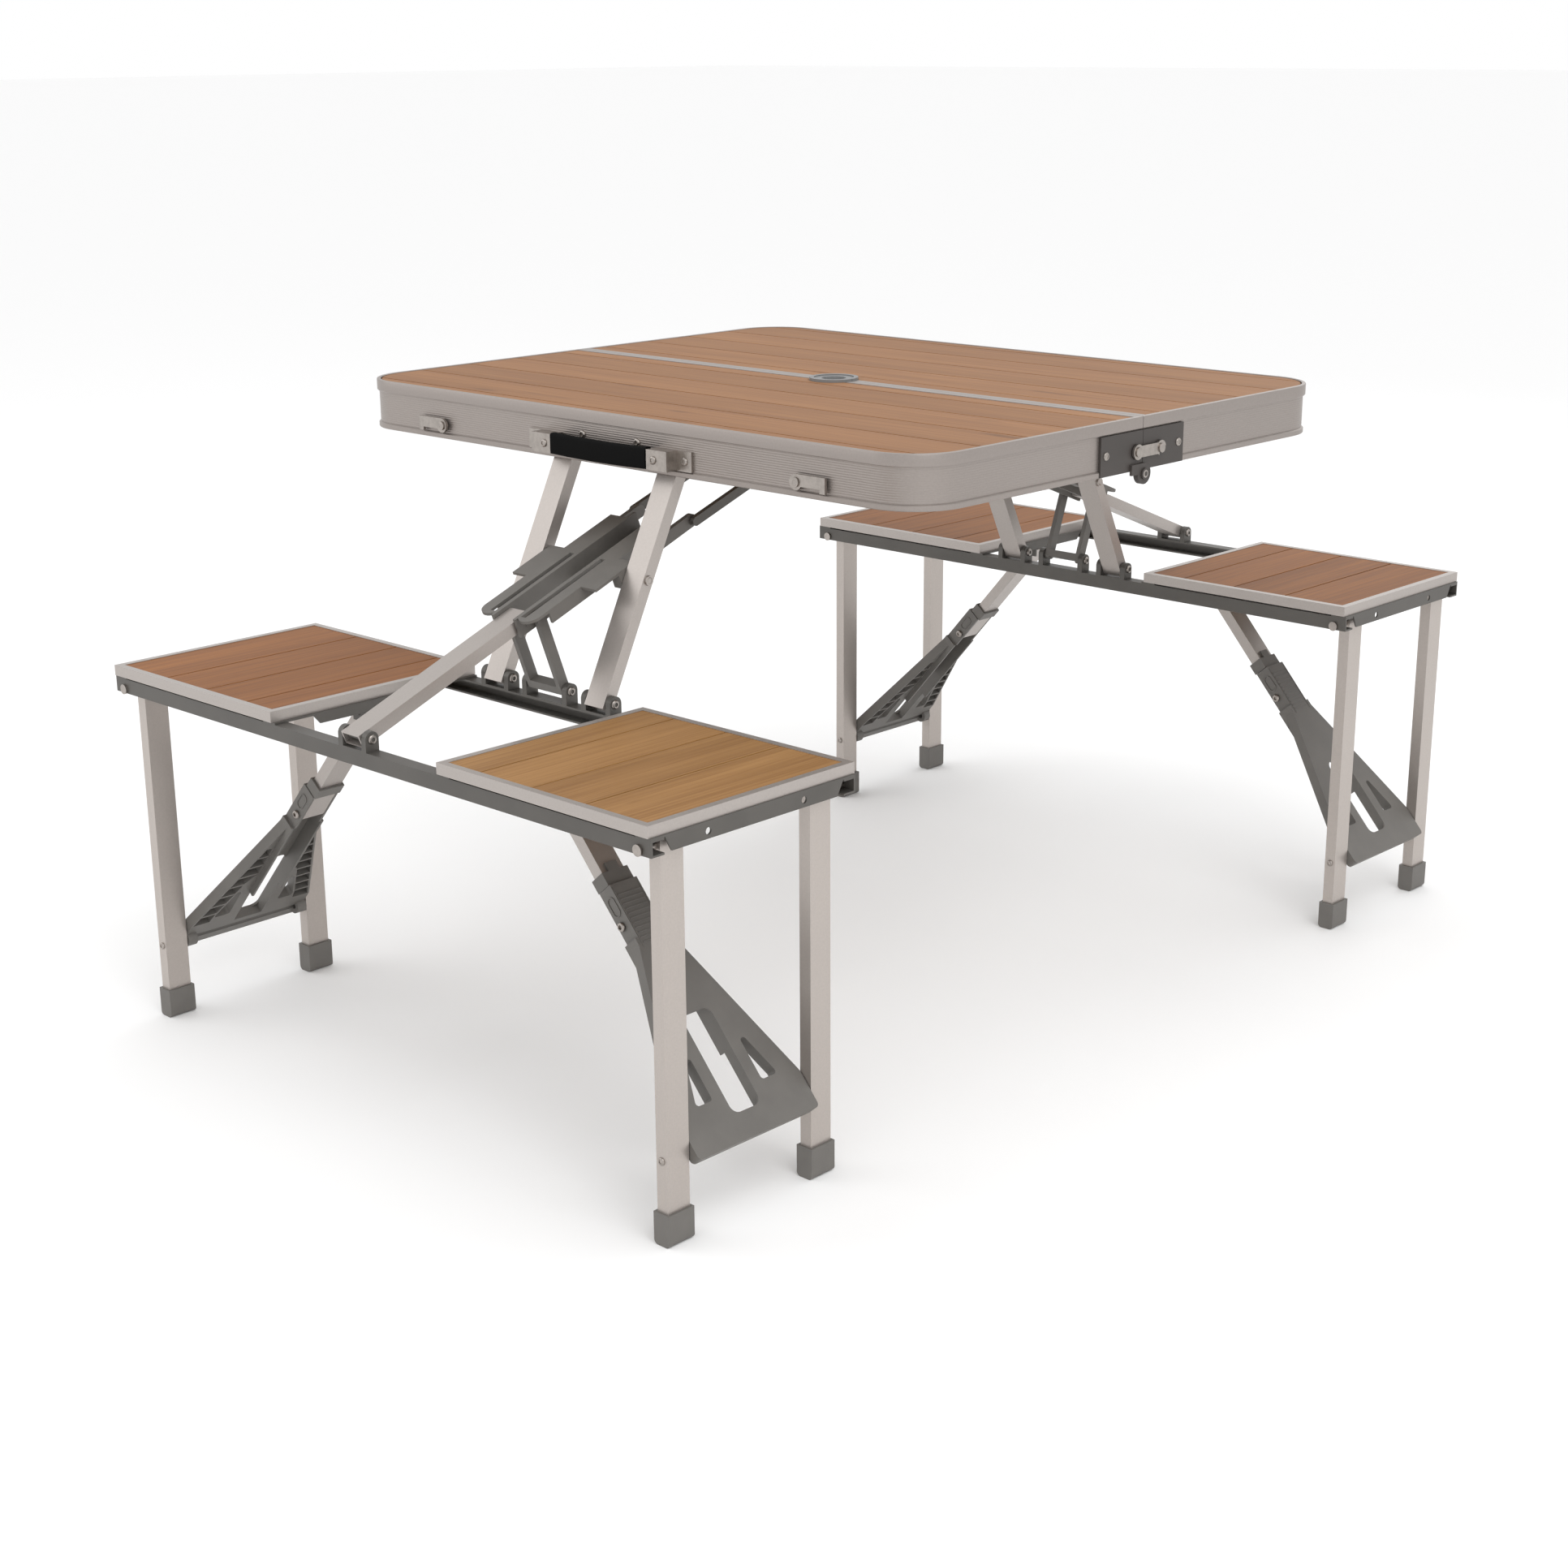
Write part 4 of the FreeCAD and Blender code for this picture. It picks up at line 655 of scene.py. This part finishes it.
def bench_screws():
    """Heads on the rails' bolts, the forks' rivets and the slide pins."""
    for half in HALVES:
        sign = -1 if half == "front" else 1
        low, high = edges("rear_bench_rails")
        places = []
        leg = abs(pivot("rear_right_leg_fold").x)
        height = pivot("rear_right_leg_fold").z
        for end in (-1, 1):
            places.append(((end * leg, sign * high.y, height), (0, sign, 0)))
            places.append(((end * leg, sign * low.y, height), (0, -sign, 0)))
        heads(f"{half}_rail_bolts", places, f"{half}_bench", 5.2, 2.3)
        main = pivot(f"{half}_bench_level")
        centre = pivot(f"{half}_centre_strut_turn")
        link = pivot(f"{half}_v_link_turn")
        places = []
        for x in (-MAIN_X, MAIN_X):
            places += pair(x - FORK_OUT, x + FORK_OUT, main.y, main.z)
        places += pair(-FORK_OUT, FORK_OUT, centre.y, centre.z)
        places += pair(-LINK_FORK_OUT, LINK_FORK_OUT, link.y, link.z)
        heads(f"{half}_fork_rivets", places, f"{half}_bench", 4.8, 2.0)
        slide = pivot(f"{half}_slide_bracket_turn")
        places = pair(-SLIDE_PIN_OUT, SLIDE_PIN_OUT, slide.y, slide.z)
        heads(f"{half}_slide_rivets", places, f"{half}_main_struts", 5.2, 2.6)


def brace_axes(name):
    """The place of a brace's knee, and its directions along, across and outwards."""
    top = pivot(f"{name}_brace_strut_turn")
    knee = pivot(f"{name}_brace_knee")
    along = (knee - top).normalized()
    across = Vector((0, 1, 0))
    out = along.cross(across)
    if out.z < 0:
        across = -across
        out = -out
    turn = Matrix((along, across, out)).transposed().to_4x4()
    return Matrix.Translation(knee) @ turn


PLATE_OUT = 12.7
SLEEVE_HALF = 17.6
RIDGES = 11
RIDGE_START = -29.0
RIDGE_PITCH = 5.2
RIDGE_WIDE = 1.5
RIDGE_HALF = 14.5
RIDGE_SPAN = (PLATE_OUT - 0.2, PLATE_OUT + 0.55)
SIDE_RIDGE = (15.6, 16.6)
SIDE_RIDGE_RUN = (-36.0, 30.0)
OVAL_STEPS = 40
LEG_SCREW_Z = 85.0


def brace_details():
    """Ridges and ovals on each brace's sleeve, its knee bolt, and the screws low on the legs."""
    for half in HALVES:
        for end in ENDS:
            name = f"{half}_{end}"
            place = brace_axes(name)
            ridges = []
            for k in range(RIDGES):
                at = RIDGE_START + RIDGE_PITCH * k
                ridges.append(block((at, at + RIDGE_WIDE), (-RIDGE_HALF, RIDGE_HALF), RIDGE_SPAN))
            for k in (-1, 1):
                side = sorted(k * y for y in SIDE_RIDGE)
                ridges.append(block(SIDE_RIDGE_RUN, side, RIDGE_SPAN))
            verts, faces = moved(join(*ridges), place)
            obj = piece(f"{name}_grip_ridges", verts, faces, PLASTIC, f"{name}_brace_plate",
                        smooth=False)
            bevel(obj, 0.35)
            rings = []
            for q in range(OVAL_STEPS):
                a = 2 * math.pi * q / OVAL_STEPS
                c, n = math.cos(a), math.sin(a)
                cx = -20 + (5 if c > 0 else -5)
                ring = []
                for reach, out in ((4.6, 0), (4.6, 0.9), (5.6, 0.9), (5.6, 0)):
                    ring.append((cx + reach * c, SLEEVE_HALF - 0.1 + out, 3 + reach * n))
                rings.append(ring)
            both = []
            for k in (-1, 1):
                flipped = [[(x, k * y, z) for x, y, z in ring] for ring in rings]
                both.append(moved(swept(flipped, True), place))
            verts, faces = join(*both)
            piece(f"{name}_sleeve_ovals", verts, faces, PLASTIC, f"{name}_brace_plate",
                  smooth=False)
            knee = place.translation
            places = [((knee.x, knee.y + k * (SLEEVE_HALF + 1.2), knee.z), (0, k, 0)) for k in (-1, 1)]
            heads(f"{name}_knee_bolt", places, f"{name}_brace_strut", 4.8, 2.4)
            legs_low, legs_high = edges(f"{name}_leg_pair")
            leg = pivot(f"{name}_leg_fold")
            places = [((leg.x, legs_low.y + 1.2, LEG_SCREW_Z), (0, -1, 0)),
                      ((leg.x, legs_high.y - 1.2, LEG_SCREW_Z), (0, 1, 0))]
            heads(f"{name}_leg_screws", places, f"{name}_legs", 4.0, 1.9)


# ---------------------------------------------------------------- carried-over nodes


def dress(suffixes, material, width, segments=2):
    """Give CAD nodes their material and soft edges."""
    for name, obj in NODES.items():
        if any(name.endswith(s) for s in suffixes):
            for slot in obj.material_slots:
                slot.material = material
            if not obj.material_slots:
                obj.data.materials.append(material)
            bevel(obj, width, segments)


def carried_over():
    """Materials and soft edges for the nodes that keep their own shape."""
    dress(["leg_pair"], LEG_ALUMINIUM, 0.9, 3)
    dress(["brace_strut", "main_struts", "centre_strut"], STRUT_ALUMINIUM, 0.9, 3)
    dress(["seat_frames"], SEAT_ALUMINIUM, 0.6)
    dress(["bench_rails", "cross_angles", "slide_arms"], STEEL, 0.4)
    dress(["pivot_brackets", "underside_brackets"], STEEL, 0.4)
    dress(["slide_bracket", "v_link"], PLASTIC, 0.5)
    dress(["brace_plate", "brace_collar"], PLASTIC, 0.6)
    dress(["feet"], PLASTIC, 1.6, 3)
    dress(["hinge_plates"], END_PLATE, 0.4)
    dress(["end_hook", "case_latch", "handle_brackets", "table_screws", "bench_bolts"], NICKEL, 0.3)
    dress(["parasol_ring"], RING, 0.6)


# ---------------------------------------------------------------- stage


FLOOR_HALF = 60.0
LIGHTS = (("Key", (2.6, -1.2, 3.2), 42, 2.2), ("Fill", (-2.8, -2.6, 2.2), 18, 2.4),
          ("Back", (-0.5, 3.2, 2.8), 16, 2.2))


def stage():
    """A pale floor under a white sky, with three soft lights."""
    world = bpy.data.worlds.new("Studio")
    world.use_nodes = True
    world.node_tree.nodes["Background"].inputs["Color"].default_value = (1, 1, 1, 1)
    world.node_tree.nodes["Background"].inputs["Strength"].default_value = 1.0
    bpy.context.scene.world = world
    bpy.context.scene.view_settings.view_transform = "Standard"
    mesh = bpy.data.meshes.new("Floor")
    corners = [(x * FLOOR_HALF, y * FLOOR_HALF, 0) for x, y in ((-1, -1), (1, -1), (1, 1), (-1, 1))]
    mesh.from_pydata(corners, [], [(0, 1, 2, 3)])
    floor = bpy.data.objects.new("Floor", mesh)
    bpy.context.scene.collection.objects.link(floor)
    paper = Nodes("Paper")
    paper.shader.inputs["Base Color"].default_value = (0.96, 0.96, 0.96, 1)
    paper.shader.inputs["Roughness"].default_value = 0.9
    mesh.materials.append(paper.material)
    for name, place, power, wide in LIGHTS:
        light = bpy.data.lights.new(name, "AREA")
        light.energy = power
        light.size = wide
        obj = bpy.data.objects.new(name, light)
        obj.location = place
        aimed = Vector((0, 0, 0.4)) - Vector(place)
        obj.rotation_euler = aimed.to_track_quat("-Z", "Y").to_euler()
        bpy.context.scene.collection.objects.link(obj)


CAMERA_PLACE = (1.896, -2.073, 1.068)
CAMERA_ANGLES = (133.67, 17.04, -0.39)
CAMERA_LENS = 56.29


def camera():
    """Looks at the front right corner from a little above the table: yaw, pitch and roll."""
    yaw, pitch, roll = (math.radians(a) for a in CAMERA_ANGLES)
    ahead = Vector((math.cos(yaw) * math.cos(pitch), math.sin(yaw) * math.cos(pitch), -math.sin(pitch)))
    right = ahead.cross(Vector((0, 0, 1))).normalized()
    up = right.cross(ahead)
    across = math.cos(roll) * right + math.sin(roll) * up
    above = -math.sin(roll) * right + math.cos(roll) * up
    data = bpy.data.cameras.new("Camera")
    data.sensor_width = 36
    data.lens = CAMERA_LENS
    data.clip_end = 200
    obj = bpy.data.objects.new("Camera", data)
    turn = Matrix((across, above, -ahead)).transposed().to_4x4()
    obj.matrix_world = Matrix.Translation(CAMERA_PLACE) @ turn
    bpy.context.scene.collection.objects.link(obj)
    bpy.context.scene.camera = obj


camera()
stage()
carried_over()
rims()
table_boards()
seat_boards()
grip()
handle_screws()
case_screws()
bench_screws()
brace_details()
